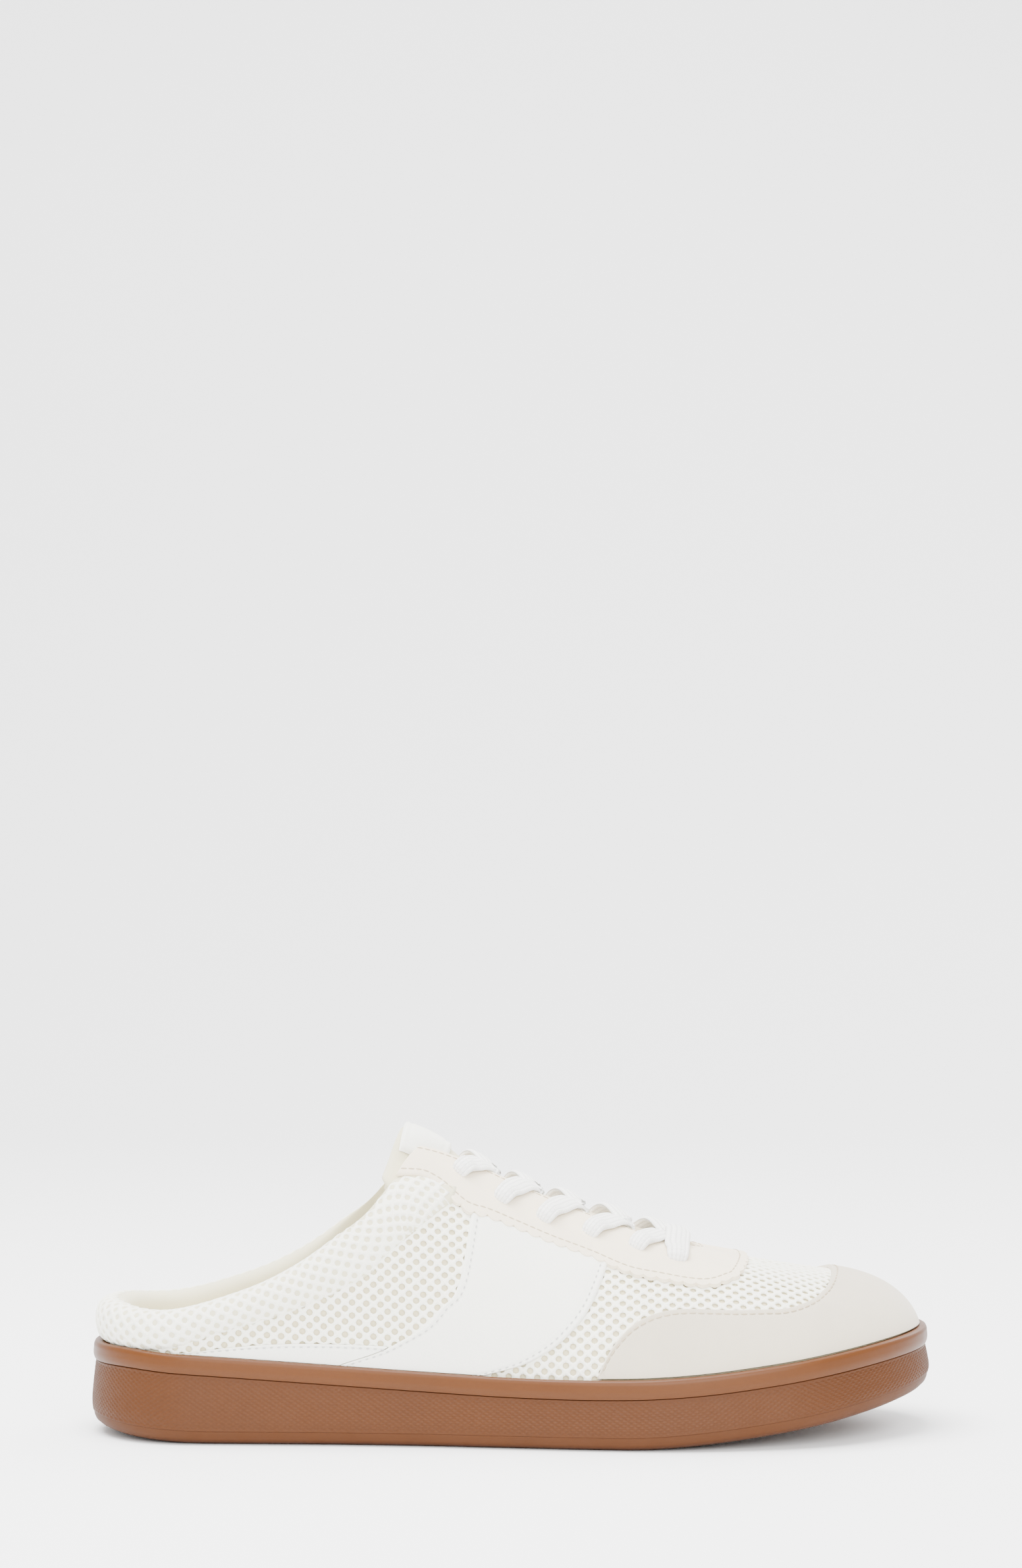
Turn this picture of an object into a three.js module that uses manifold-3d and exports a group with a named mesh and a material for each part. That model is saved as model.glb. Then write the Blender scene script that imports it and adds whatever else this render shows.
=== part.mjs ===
// Lace-up sneaker mule for the right foot: a low padded collar in place of a heel counter,
// a perforated upper under suede and leather panels, and a flat rubber cupsole.
// Millimetres, +Z up, toe towards +X. The side that faces -Y is the lateral, outer one.
// Local x runs from the heel end (0) to the toe end (LENGTH) before the group is centred.
import * as THREE from "three";
import { mergeVertices } from "three/addons/utils/BufferGeometryUtils.js";
import Module from "manifold-3d";

// Driving sizes
const LENGTH = 272; // sole, heel end to toe end
const BALL_WIDTH = 96; // sole across the ball
const SOLE_HEIGHT = 30; // top of the sole's band above the floor, at the heel
const INSTEP_RISE = 66.5; // ridge of the upper above SOLE_HEIGHT, at the top of the throat
const TOE_SPRING = 14; // underside of the toe end above the floor
const HEEL_LIFT = 3; // underside of the heel end above the floor
const OUTSOLE = 4.5; // tread layer
const TREAD_DEPTH = 1.6;
const TREAD_WIDTH = 3;
const TREAD_PITCH = 9;
const TREAD_ZONES = [[0.09, 0.36], [0.55, 0.91]]; // heel and forefoot grooves, in LENGTH
const BAND = 6.3; // height of the smooth band round the top of the sole
const UPPER_INSET = 3.8; // upper's outer face inside the sole's widest outline, at its foot
const INSOLE = 4.5;
const WALL = 2; // upper: mesh, foam and lining together
const OVERLAY = 1.3; // suede and leather panels
const PAD = 8; // thickness of the padded collar
const TONGUE = 3;
const TONGUE_HALF_WIDTH = 24;
const THROAT_HALF_WIDTH = 9.5;
const LACING_HALF_WIDTH = 17; // from the ridge to the eyelets
const EYELET = 4.5; // hole diameter
const LACE_WIDTH = 8;
const LACE = 1.5; // lace thickness
const TAB_HALF_WIDTH = 10.5; // leather tab on the tongue
const GAP = 0.3; // clearance between neighbouring pieces

// Fineness of the faceted surfaces
const AROUND = 56; // stations round the outline, even
const UPWARD = 10; // rows from the sole to the ridge
const PAD_STATIONS = 28;
const HOLE_SIDES = 8;
const THROAT_ARC = 5; // steps of the throat's round front end
const SOLE_LINE_STEPS = 24; // points along the top of the sole, over its whole length
const NUDGE = 0.004; // step for slopes and normals, as a share of a parameter
const SLOPE_STEP = 0.5; // step for slopes of the surface over the throat
const BISECTIONS = 26;

// Larger than the shoe in every direction, for cutting prisms
const BEYOND = 400;
const PAST_TOE = 1.05; // ahead of the toe end, in LENGTH

const table = (names, rows) =>
  rows.map((row) => Object.fromEntries(names.split(" ").map((name, k) => [name, row[k]])));

// Sole outline: at in LENGTH, centre line and half width in BALL_WIDTH
const OUTLINE = table("at centre half", [
  [0.0, 0.0, 0.345],
  [0.1, 0.0, 0.354],
  [0.2, -0.008, 0.356],
  [0.3, -0.021, 0.356],
  [0.4, -0.037, 0.367],
  [0.5, -0.044, 0.401],
  [0.6, -0.031, 0.453],
  [0.68, -0.01, 0.49],
  [0.74, 0.008, 0.498],
  [0.8, 0.029, 0.492],
  [0.86, 0.052, 0.476],
  [0.92, 0.077, 0.455],
  [1.0, 0.104, 0.427],
]);
const HEEL_ROUND = 0.125; // length of the rounded heel end, in LENGTH
const TOE_ROUND = 0.184;
const END_SQUARENESS = 2.1; // 2 is an ellipse

// Top edge of the sole: height in SOLE_HEIGHT
const SOLE_TOP = table("at height", [
  [0.0, 1.0],
  [0.045, 1.007],
  [0.1, 0.973],
  [0.2, 0.913],
  [0.3, 0.853],
  [0.4, 0.8],
  [0.5, 0.76],
  [0.6, 0.75],
  [0.66, 0.763],
  [0.72, 0.8],
  [0.8, 0.883],
  [0.88, 0.987],
  [0.95, 1.077],
  [1.0, 1.13],
]);
const SPRING_FROM = 0.632; // where the sole leaves the floor towards the toe
const SPRING_BEND = 1.5;
const HEEL_LIFT_TO = 0.165;

// Ridge of the upper: rise above SOLE_HEIGHT in INSTEP_RISE, centre in BALL_WIDTH,
// and the squareness of the section below it, where 2 is an ellipse
const RIDGE = table("at rise centre square", [
  [0.165, 1.218, 0.0, 2.3],
  [0.257, 1.158, 0.0, 2.2],
  [0.331, 1.075, 0.005, 1.95],
  [0.377, 1.0, 0.01, 1.8],
  [0.408, 0.944, 0.012, 1.7],
  [0.439, 0.882, 0.016, 1.64],
  [0.502, 0.758, 0.021, 1.62],
  [0.565, 0.643, 0.031, 1.62],
  [0.627, 0.537, 0.042, 1.66],
  [0.69, 0.448, 0.057, 1.76],
  [0.753, 0.384, 0.078, 1.94],
  [0.816, 0.332, 0.094, 2.12],
  [0.853, 0.313, 0.104, 2.2],
]);

// Side steps of the sole: inset from the widest outline
const OUTSOLE_SIDE = table("up inset", [
  [0.0, 5.0],
  [0.2, 2.4],
  [0.5, 0.9],
  [1.0, 0.15],
]);
const MIDSOLE_SIDE = table("up inset", [
  [0.0, 0.15],
  [0.12, 0.0],
  [0.55, 0.5],
  [1.0, 1.4],
]);
const BAND_SIDE = table("up inset", [
  [0.0, 1.05],
  [0.12, 0.75],
  [0.6, 0.7],
  [0.93, 1.3],
  [1.0, 2.4],
]);

// Side views of seams and edges: at in LENGTH, rise above the sole's top in INSTEP_RISE
const COLLAR = table("at rise", [
  [-0.05, 0.212],
  [0.0, 0.21],
  [0.025, 0.202],
  [0.057, 0.186],
  [0.087, 0.192],
  [0.121, 0.221],
  [0.162, 0.28],
  [0.217, 0.382],
  [0.26, 0.495],
  [0.297, 0.617],
  [0.332, 0.738],
  [0.347, 0.811],
  [0.364, 0.892],
]);
const THROAT_TOP = table("at rise", [
  [0.368, 0.942],
  [0.376, 0.979],
  [0.388, 1.005],
  [0.409, 1.024],
  [0.43, 1.03],
]);
const PAD_SEAM = table("at rise", [
  [0.0, 0.0],
  [0.08, 0.0],
  [0.105, 0.021],
  [0.134, 0.065],
  [0.165, 0.117],
  [0.202, 0.171],
  [0.229, 0.211],
  [0.271, 0.289],
  [0.309, 0.371],
  [0.333, 0.432],
  [0.354, 0.52],
  [0.376, 0.606],
  [0.397, 0.677],
]);
const EYESTAY_EDGE = table("at rise", [
  [0.364, 0.892],
  [0.395, 0.884],
  [0.413, 0.848],
  [0.45, 0.743],
  [0.467, 0.726],
  [0.504, 0.671],
  [0.541, 0.614],
  [0.595, 0.538],
  [0.642, 0.465],
  [0.674, 0.436],
  [0.715, 0.4],
  [0.732, 0.391],
  [0.754, 0.398],
  [0.772, 0.424],
  [0.781, 0.46],
  [0.785, 0.62],
]);
const TOE_CAP_EDGE = table("at rise", [
  [0.594, -0.01],
  [0.602, 0.048],
  [0.609, 0.116],
  [0.619, 0.17],
  [0.63, 0.223],
  [0.646, 0.269],
  [0.662, 0.295],
  [0.688, 0.311],
  [0.723, 0.304],
  [0.735, 0.3],
]);
// Plan view of the toe cap's inner edge, round the vamp from where the side view ends
const VAMP = table("at lateral medial", [
  [0.762, -0.326, 0.384],
  [0.793, -0.305, 0.388],
  [0.824, -0.265, 0.372],
  [0.846, -0.219, 0.351],
  [0.861, -0.165, 0.316],
  [0.872, -0.095, 0.262],
  [0.879, 0.0, 0.187],
  [0.881, 0.09, 0.1],
]);
const SADDLE_REAR = table("at rise", [
  [0.3, -0.01],
  [0.365, 0.12],
  [0.415, 0.29],
  [0.444, 0.52],
  [0.452, 0.735],
]);
const SADDLE_FRONT = table("at rise", [
  [0.612, 0.51],
  [0.596, 0.36],
  [0.566, 0.2],
  [0.525, 0.08],
  [0.47, -0.01],
]);
const REAR_STRIP_TAPER = 0.02; // the strip's lower edge runs this far behind its top, in LENGTH
const REAR_STRIP_TOP = table("at rise", [
  [0.12, 0.012],
  [0.17, 0.045],
  [0.22, 0.078],
  [0.28, 0.105],
  [0.34, 0.12],
]);

// Section of the padded collar: up from its seam to its top edge, lift in PAD
const PAD_SECTION = table("up lift", [
  [0.0, -0.1],
  [0.1, 0.06],
  [0.3, 0.16],
  [0.55, 0.2],
  [0.8, 0.14],
  [0.93, -0.02],
  [0.99, -0.25],
  [0.99, -0.55],
  [0.93, -0.78],
  [0.8, -0.92],
  [0.55, -0.96],
  [0.3, -0.8],
  [0.1, -0.45],
  [0.0, -0.2],
]);
const PAD_INNER = -0.4; // points of the section below this lift are on its inner face
const PAD_FRONT = 0.27; // the pad thins out from here to the throat, in LENGTH
const PAD_END = 0.344;
const PAD_TOP_ROUND = 0.035; // wall stops this far below the pad's top, in INSTEP_RISE

// Tongue: half width in TONGUE_HALF_WIDTH, crown is how far its middle stands up in TONGUE,
// sweep is how far its edges lie behind its middle in TONGUE_HALF_WIDTH
const TONGUE_ROWS = table("at half crown sweep", [
  [0.745, 0.62, 0.0, 0.0],
  [0.72, 0.72, 0.0, 0.0],
  [0.68, 0.78, 0.0, 0.0],
  [0.62, 0.84, 0.0, 0.0],
  [0.56, 0.88, 0.0, 0.0],
  [0.5, 0.92, 0.0, 0.0],
  [0.45, 0.96, 0.0, 0.05],
  [0.425, 0.98, 0.25, 0.12],
  [0.405, 0.98, 0.95, 0.16],
  [0.388, 0.93, 1.65, 0.19],
  [0.373, 0.84, 2.0, 0.2],
  [0.366, 0.74, 2.05, 0.2],
]);
const TONGUE_CROWN_WIDTH = 1.45; // half width of the raised middle, in THROAT_HALF_WIDTH
const TONGUE_COLUMNS = 10;
const TAB_FROM = 0.37;
const TAB_TO = 0.415;
const TAB_ROWS = 6;
const TAB_COLUMNS = 6;

// Throat opening: half width in THROAT_HALF_WIDTH
const THROAT = table("at half", [
  [0.33, 1.5],
  [0.395, 1.38],
  [0.425, 1.16],
  [0.46, 1.02],
  [0.52, 1.0],
  [0.6, 1.0],
  [0.68, 1.0],
]);
const THROAT_FRONT = 0.72;

// Eyelets: at in LENGTH, spread in LACING_HALF_WIDTH
const EYELETS = table("at spread", [
  [0.695, 1.06],
  [0.643, 1.03],
  [0.588, 1.0],
  [0.535, 0.98],
  [0.485, 0.93],
  [0.436, 0.85],
]);
const LACE_START = 0.55; // lace comes up from the throat this far out, in THROAT_HALF_WIDTH
const LACE_PAST = 2; // lace runs this far past the middle of its eyelet
const LACE_STEPS = 8;
const BAR_BOW = 3.3; // the front bar stands this much clear over the throat
const BAR_RAISED = 0.5; // half width of the bar's raised middle, in THROAT_HALF_WIDTH
const BAR_LANDS = 1.3; // where the bar lies on the eyestay again

const { lerp, clamp, smoothstep } = THREE.MathUtils;
const wasm = await Module();
wasm.setup();

// Value of a column of a table at one place along it, on a smooth curve through its rows.
function follow(rows, column, at, key = "at") {
  const last = rows.length - 1;
  const place = clamp(at, rows[0][key], rows[last][key]);
  const next = rows.findIndex((row) => row[key] > place);
  const k = next < 0 ? last - 1 : next - 1;
  const rate = (i) => (rows[i + 1][column] - rows[i][column]) / (rows[i + 1][key] - rows[i][key]);
  const slope = (i) => {
    if (i === 0) return rate(0);
    if (i === last) return rate(last - 1);
    const before = rows[i][key] - rows[i - 1][key];
    const after = rows[i + 1][key] - rows[i][key];
    return (rate(i - 1) * after + rate(i) * before) / (before + after);
  };
  const span = rows[k + 1][key] - rows[k][key];
  const s = (place - rows[k][key]) / span;
  const eased = 3 * s ** 2 - 2 * s ** 3;
  const between = lerp(rows[k][column], rows[k + 1][column], eased);
  return between + span * (slope(k) * (s ** 3 - 2 * s ** 2 + s) + slope(k + 1) * (s ** 3 - s ** 2));
}

// Heights of the sole along its length
const soleTop = (x) => SOLE_HEIGHT * follow(SOLE_TOP, "height", x / LENGTH);
const soleLedge = (x) => soleTop(x) - BAND;
function underside(x) {
  const toe = clamp((x / LENGTH - SPRING_FROM) / (1 - SPRING_FROM), 0, 1);
  const heel = clamp(1 - x / (HEEL_LIFT_TO * LENGTH), 0, 1);
  return TOE_SPRING * toe ** SPRING_BEND + HEEL_LIFT * heel ** 2;
}

// Widest outline of the sole: turn is the share of the way round, 0 at the heel, lateral side first.
function edge(turn) {
  const x = (LENGTH / 2) * (1 - Math.cos(2 * Math.PI * turn));
  const side = THREE.MathUtils.euclideanModulo(turn, 1) < 0.5 ? -1 : 1;
  const heel = clamp(1 - x / (HEEL_ROUND * LENGTH), 0, 1);
  const toe = clamp(1 - (LENGTH - x) / (TOE_ROUND * LENGTH), 0, 1);
  const round = (share) => (1 - share ** END_SQUARENESS) ** (1 / END_SQUARENESS);
  const half = follow(OUTLINE, "half", x / LENGTH) * round(heel) * round(toe);
  return new THREE.Vector2(x, BALL_WIDTH * (follow(OUTLINE, "centre", x / LENGTH) + side * half));
}

function outline(turn, inset) {
  const along = edge(turn + NUDGE).sub(edge(turn - NUDGE)).normalize();
  return edge(turn).addScaledVector(new THREE.Vector2(along.y, -along.x), -inset);
}

// Point of the ridge at a place along the length, with the section's squareness there.
function ridge(x) {
  const at = x / LENGTH;
  const point = new THREE.Vector3(x, BALL_WIDTH * follow(RIDGE, "centre", at), 0);
  point.z = SOLE_HEIGHT + INSTEP_RISE * follow(RIDGE, "rise", at);
  return { point, square: follow(RIDGE, "square", at) };
}

// Frame of the meridian that climbs from one station of the outline to the ridge.
function meridian(turn) {
  const foot = outline(turn, UPPER_INSET);
  const from = RIDGE[0].at * LENGTH;
  const to = RIDGE[RIDGE.length - 1].at * LENGTH;
  const { point, square } = ridge(lerp(from, to, edge(turn).x / LENGTH));
  return { foot, base: soleLedge(foot.x) + GAP, top: point, square };
}

// Last surface: climb is 0 at the sole's ledge and 1 on the ridge.
function lastPoint(turn, climb) {
  const { foot, base, top, square } = meridian(turn);
  const angle = (clamp(climb, 0, 1) * Math.PI) / 2;
  const out = climb >= 1 ? 0 : Math.cos(angle) ** (2 / square);
  const up = Math.sin(angle) ** (2 / square);
  return new THREE.Vector3(lerp(top.x, foot.x, out), lerp(top.y, foot.y, out), lerp(base, top.z, up));
}

function lastNormal(turn, climb) {
  if (climb > 1 - NUDGE) {
    const along = lastPoint(turn + NUDGE, 1).sub(lastPoint(turn - NUDGE, 1)).normalize();
    return new THREE.Vector3(0, 0, 1).addScaledVector(along, -along.z).normalize();
  }
  const around = lastPoint(turn + NUDGE, climb).sub(lastPoint(turn - NUDGE, climb));
  const upward = lastPoint(turn, climb + NUDGE).sub(lastPoint(turn, Math.max(climb - NUDGE, 0)));
  return around.cross(upward).normalize();
}

// Point above the last surface by lift, along its normal.
const skin = (turn, climb, lift) =>
  lastPoint(turn, climb).addScaledVector(lastNormal(turn, climb), lift);

// Climb at which a meridian has risen by a height above its foot.
function climbAtRise(turn, rise) {
  const { base, top, square } = meridian(turn);
  return (2 / Math.PI) * Math.asin(clamp(rise / (top.z - base), 0, 1) ** (square / 2));
}

// Root of a falling-to-rising test between two values.
function bisect(low, high, isBelow) {
  let [a, b] = [low, high];
  for (let k = 0; k < BISECTIONS; k++) {
    const middle = (a + b) / 2;
    if (isBelow(middle)) a = middle;
    else b = middle;
  }
  return (a + b) / 2;
}

// Height of a seam drawn in side view.
const seamHeight = (rows, x) => soleTop(x) + INSTEP_RISE * follow(rows, "rise", x / LENGTH);

const climbAtSeam = (turn, rows) =>
  bisect(0, 1, (climb) => {
    const point = lastPoint(turn, climb);
    return point.z < seamHeight(rows, point.x);
  });

// Station and climb of the last surface at a length x and a distance across from the ridge.
function place(x, across) {
  const turnAt = (share) => {
    const turn = Math.acos(1 - 2 * share) / (2 * Math.PI);
    return across < 0 ? turn : 1 - turn;
  };
  const outAt = (turn) => {
    const { foot, top } = meridian(turn);
    return clamp(Math.abs(across) / Math.abs(foot.y - top.y), 0, 1);
  };
  const share = bisect(0, 1, (s) => {
    const turn = turnAt(s);
    const { foot, top } = meridian(turn);
    return lerp(top.x, foot.x, outAt(turn)) < x;
  });
  const turn = turnAt(share);
  const { square } = meridian(turn);
  return { turn, climb: (2 / Math.PI) * Math.acos(outAt(turn) ** (square / 2)) };
}

// Surface over the throat: the last with its ridge rounded off inside the throat's width.
function crownHeight(x, across) {
  const wide = THROAT_HALF_WIDTH;
  const distance = Math.abs(across);
  const eased = distance < wide ? (distance ** 2 + wide ** 2) / (2 * wide) : distance;
  const { turn, climb } = place(x, across < 0 ? -eased : eased);
  return lastPoint(turn, climb).z;
}

function crown(x, across, lift) {
  const h = SLOPE_STEP;
  const height = crownHeight(x, across);
  const riseX = crownHeight(x + h, across) - crownHeight(x - h, across);
  const riseY = crownHeight(x, across + h) - crownHeight(x, across - h);
  const normal = new THREE.Vector3(-riseX, -riseY, 2 * h).normalize();
  return new THREE.Vector3(x, ridge(x).point.y + across, height).addScaledVector(normal, lift);
}

// Manifold solid of a geometry, its shared vertices merged and its collapsed faces dropped.
function solidOf(geometry) {
  geometry.deleteAttribute("normal");
  geometry.deleteAttribute("uv");
  const merged = mergeVertices(geometry, 1e-4);
  const positions = merged.attributes.position;
  const corner = (k) => new THREE.Vector3().fromBufferAttribute(positions, k);
  const kept = [];
  let volume = 0;
  for (let k = 0; k < merged.index.count; k += 3) {
    const [a, b, c] = [0, 1, 2].map((offset) => merged.index.getX(k + offset));
    if (a === b || b === c || c === a) continue;
    kept.push([a, b, c]);
    volume += corner(a).dot(corner(b).cross(corner(c)));
  }
  const triVerts = new Uint32Array(kept.flatMap(([a, b, c]) => (volume < 0 ? [a, c, b] : [a, b, c])));
  return new wasm.Manifold(new wasm.Mesh({ numProp: 3, vertProperties: positions.array, triVerts }));
}

// Solid through rings of points that all have the same even number of points. Ends are closed
// straight across, from each point to its opposite; a looped loft joins its last ring to its first.
function loft(rings, looped = false) {
  const count = rings[0].length;
  const faces = [];
  const quad = (a, b, c, d) => faces.push(a, b, c, a, c, d);
  const bands = looped ? rings.length : rings.length - 1;
  for (let r = 0; r < bands; r++) {
    const low = r * count;
    const high = ((r + 1) % rings.length) * count;
    for (let k = 0; k < count; k++) {
      const next = (k + 1) % count;
      quad(low + k, low + next, high + next, high + k);
    }
  }
  const end = (rings.length - 1) * count;
  for (let k = 0; !looped && k < count / 2 - 1; k++) {
    quad(k + 1, k, count - 1 - k, count - 2 - k);
    quad(end + k, end + k + 1, end + count - 2 - k, end + count - 1 - k);
  }
  const geometry = new THREE.BufferGeometry().setFromPoints(rings.flat());
  geometry.setIndex(faces);
  return solidOf(geometry);
}

const STATIONS = Array.from({ length: AROUND }, (_, k) => (k + 0.5) / AROUND);
const soleRing = (inset, height) =>
  STATIONS.map((turn) => {
    const { x, y } = outline(turn, inset);
    return new THREE.Vector3(x, y, height(x));
  });

// Closed form of the upper at a lift, reaching below the sole's ledge by depth.
function dome(lift, depth = 0) {
  const rings = [];
  for (let row = 0; row <= UPWARD; row++) rings.push(STATIONS.map((turn) => skin(turn, row / UPWARD, lift)));
  if (depth > 0) rings.unshift(rings[0].map((point) => new THREE.Vector3(point.x, point.y, point.z - depth)));
  return loft(rings);
}

// Prism of a side view, across the shoe from one y to another.
function sidePrism(points, yLow = -BEYOND, yHigh = BEYOND) {
  const shape = new THREE.Shape(points.map(([x, z]) => new THREE.Vector2(x, z)));
  const geometry = new THREE.ExtrudeGeometry(shape, { depth: yHigh - yLow, bevelEnabled: false });
  return solidOf(geometry.rotateX(Math.PI / 2).translate(0, yHigh, 0));
}

// Points of a seam in side view, moved by shifts of x and height.
const seamPoints = (rows, dx = 0, dz = 0) =>
  rows.map(({ at, rise }) => [at * LENGTH + dx, soleTop(at * LENGTH) + rise * INSTEP_RISE + dz]);

// Points along the top of the sole between two shares of the length, a clearance above it.
function soleLine(from, to) {
  const steps = Math.max(2, Math.ceil(Math.abs(to - from) * SOLE_LINE_STEPS));
  return Array.from({ length: steps + 1 }, (_, k) => {
    const x = lerp(from, to, k / steps) * LENGTH;
    return [x, soleTop(x) + GAP];
  });
}

// Sole
function makeOutsole() {
  const rings = OUTSOLE_SIDE.map(({ up, inset }) => soleRing(inset, (x) => underside(x) + up * OUTSOLE));
  let tread = loft(rings);
  const cutGroove = (x) => {
    const box = new THREE.BoxGeometry(TREAD_WIDTH, BEYOND, 2 * TREAD_DEPTH);
    tread = tread.subtract(solidOf(box.translate(x, 0, underside(x))));
  };
  for (const [from, to] of TREAD_ZONES)
    for (let x = from * LENGTH; x < to * LENGTH; x += TREAD_PITCH) cutGroove(x);
  return tread;
}

function makeMidsole() {
  const low = (x) => underside(x) + OUTSOLE + GAP;
  const rings = MIDSOLE_SIDE.map(({ up, inset }) => soleRing(inset, (x) => lerp(low(x), soleLedge(x), up)));
  return loft(rings);
}

function makeBand() {
  const outer = BAND_SIDE.map(({ up, inset }) =>
    soleRing(inset, (x) => lerp(soleLedge(x) + GAP, soleTop(x), up)),
  );
  const inner = [BAND - 2 * GAP, 0].map((rise) =>
    STATIONS.map((turn) => skin(turn, climbAtRise(turn, rise), GAP)),
  );
  return loft([...outer, ...inner], true);
}

function makeInsole() {
  const inside = -(WALL + GAP);
  const rings = [0, 0.5, 1].map((share) =>
    STATIONS.map((turn) => skin(turn, climbAtRise(turn, share * INSOLE), inside)),
  );
  return loft(rings);
}

// Upper
function makePad() {
  const endTurn = bisect(0, 0.5, (turn) => {
    const climb = climbAtSeam(turn, COLLAR);
    return lastPoint(turn, climb).x < PAD_END * LENGTH;
  });
  const sections = [];
  for (let k = 0; k <= PAD_STATIONS; k++) {
    const turn = lerp(-endTurn, endTurn, k / PAD_STATIONS);
    const top = climbAtSeam(turn, COLLAR);
    const seam = Math.min(climbAtSeam(turn, PAD_SEAM), top);
    const thin = smoothstep(lastPoint(turn, top).x, PAD_FRONT * LENGTH, PAD_END * LENGTH);
    sections.push(
      PAD_SECTION.map(({ up, lift }) => {
        const flat = lift > PAD_INNER ? -0.5 * GAP : 0.5 * GAP - WALL;
        return skin(turn, lerp(seam, top, up), lerp(lift * PAD, flat, thin));
      }),
    );
  }
  return loft(sections);
}

// Prism above the collar and the top of the throat, its collar line moved down by a drop.
function collarCut(drop) {
  const collar = seamPoints(COLLAR, 0, -drop);
  const top = seamPoints(THROAT_TOP);
  const corners = [[top.at(-1)[0], BEYOND], [-BEYOND, BEYOND], [-BEYOND, collar[0][1]]];
  return sidePrism([...collar, ...top, ...corners]);
}

function throatCut() {
  const front = THROAT_FRONT * LENGTH;
  const round = THROAT_HALF_WIDTH;
  const stops = THROAT.map(({ at, half }) => [at * LENGTH, half * THROAT_HALF_WIDTH]);
  for (let k = 0; k <= THROAT_ARC; k++) {
    const angle = (k / THROAT_ARC) * (Math.PI / 2);
    stops.push([front - round + round * Math.sin(angle), round * Math.cos(angle)]);
  }
  const side = (sign) => stops.map(([x, half]) => new THREE.Vector2(x, ridge(x).point.y + sign * half));
  const shape = new THREE.Shape([...side(-1), ...side(1).reverse().slice(1)]);
  return solidOf(new THREE.ExtrudeGeometry(shape, { depth: BEYOND, bevelEnabled: false }));
}

// Pins at the eyelets, square to the surface, for cutting their holes.
function eyeletPins() {
  const pins = [];
  const length = 4 * (WALL + OVERLAY);
  for (const { at, spread } of EYELETS)
    for (const side of [-1, 1]) {
      const { turn, climb } = place(at * LENGTH, side * spread * LACING_HALF_WIDTH);
      const pin = new THREE.CylinderGeometry(EYELET / 2, EYELET / 2, length, HOLE_SIDES);
      const axis = new THREE.Vector3(0, 1, 0);
      const turned = new THREE.Quaternion().setFromUnitVectors(axis, lastNormal(turn, climb));
      const { x, y, z } = lastPoint(turn, climb);
      pins.push(solidOf(pin.applyQuaternion(turned).translate(x, y, z)));
    }
  return pins;
}

// Largest body of a cut solid, without the crumbs that a cut can leave at an edge.
const mainBody = (solid) => solid.decompose().sort((a, b) => b.volume() - a.volume())[0];

const pierce = (solid, pins) => pins.reduce((rest, pin) => rest.subtract(pin), solid);

function makeUpper() {
  const depth = 2 * BAND;
  const wall = dome(0).subtract(dome(-WALL, depth));
  const open = wall.subtract(collarCut(PAD_TOP_ROUND * INSTEP_RISE)).subtract(throatCut());
  return pierce(open.add(makePad()), eyeletPins());
}

// Panels that lie on the upper
const overlay = dome(GAP + OVERLAY).subtract(dome(GAP));

function makeToeCap() {
  const edgeLine = seamPoints(TOE_CAP_EDGE).slice(1);
  const last = edgeLine.at(-1)[0];
  const corners = [[last, BEYOND], [PAST_TOE * LENGTH, BEYOND]];
  const side = sidePrism([...soleLine(PAST_TOE, TOE_CAP_EDGE[0].at), ...edgeLine, ...corners]);
  const start = (sign) => {
    const across = bisect(0, BALL_WIDTH / 2, (distance) => {
      const { turn, climb } = place(last, sign * distance);
      return skin(turn, climb, GAP + OVERLAY).z > edgeLine.at(-1)[1];
    });
    return new THREE.Vector2(last, ridge(last).point.y + sign * across);
  };
  const inner = (column) => VAMP.map((row) => new THREE.Vector2(row.at * LENGTH, row[column] * BALL_WIDTH));
  const vamp = new THREE.Shape([start(-1), ...inner("lateral"), ...inner("medial").reverse(), start(1)]);
  const opening = solidOf(new THREE.ExtrudeGeometry(vamp, { depth: BEYOND, bevelEnabled: false }));
  return mainBody(overlay.intersect(side).subtract(opening));
}

function makeEyestay() {
  const edgeLine = seamPoints(EYESTAY_EDGE);
  const region = sidePrism([...edgeLine, [edgeLine.at(-1)[0], BEYOND], [0, BEYOND]]);
  const open = overlay.intersect(region).subtract(collarCut(0)).subtract(throatCut());
  return mainBody(pierce(open, eyeletPins()));
}

function makeSaddle(yLow, yHigh) {
  const under = EYESTAY_EDGE.filter(({ at }) => at > SADDLE_REAR.at(-1).at && at < SADDLE_FRONT[0].at);
  const points = [
    ...seamPoints(SADDLE_REAR).slice(1),
    ...seamPoints(under, 0, -GAP),
    ...seamPoints(SADDLE_FRONT).slice(0, -1),
    ...soleLine(SADDLE_FRONT.at(-1).at, SADDLE_REAR[0].at),
  ];
  return mainBody(overlay.intersect(sidePrism(points, yLow, yHigh)));
}

function makeRearStrip(yLow, yHigh) {
  const top = seamPoints(REAR_STRIP_TOP);
  const front = seamPoints(SADDLE_REAR, -2 * GAP).slice(1, 2);
  const low = soleLine(SADDLE_REAR[0].at - (4 * GAP) / LENGTH, REAR_STRIP_TOP[0].at - REAR_STRIP_TAPER);
  return mainBody(overlay.intersect(sidePrism([...top, ...front, ...low], yLow, yHigh)));
}

// Tongue and its tab
const TONGUE_LIFT = -(WALL + 3 * GAP);
const tongueLift = (across, crownRise) => {
  const share = clamp(Math.abs(across) / (TONGUE_CROWN_WIDTH * THROAT_HALF_WIDTH), 0, 1);
  return TONGUE_LIFT + TONGUE * crownRise * (1 - share ** 3) ** 2;
};

// Flat piece through rows of its upper face; each row is a line of points with a thickness below.
function sheet(rows) {
  return loft(rows.map((row) => [...row.map(({ high }) => high), ...row.map(({ low }) => low).reverse()]));
}

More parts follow.
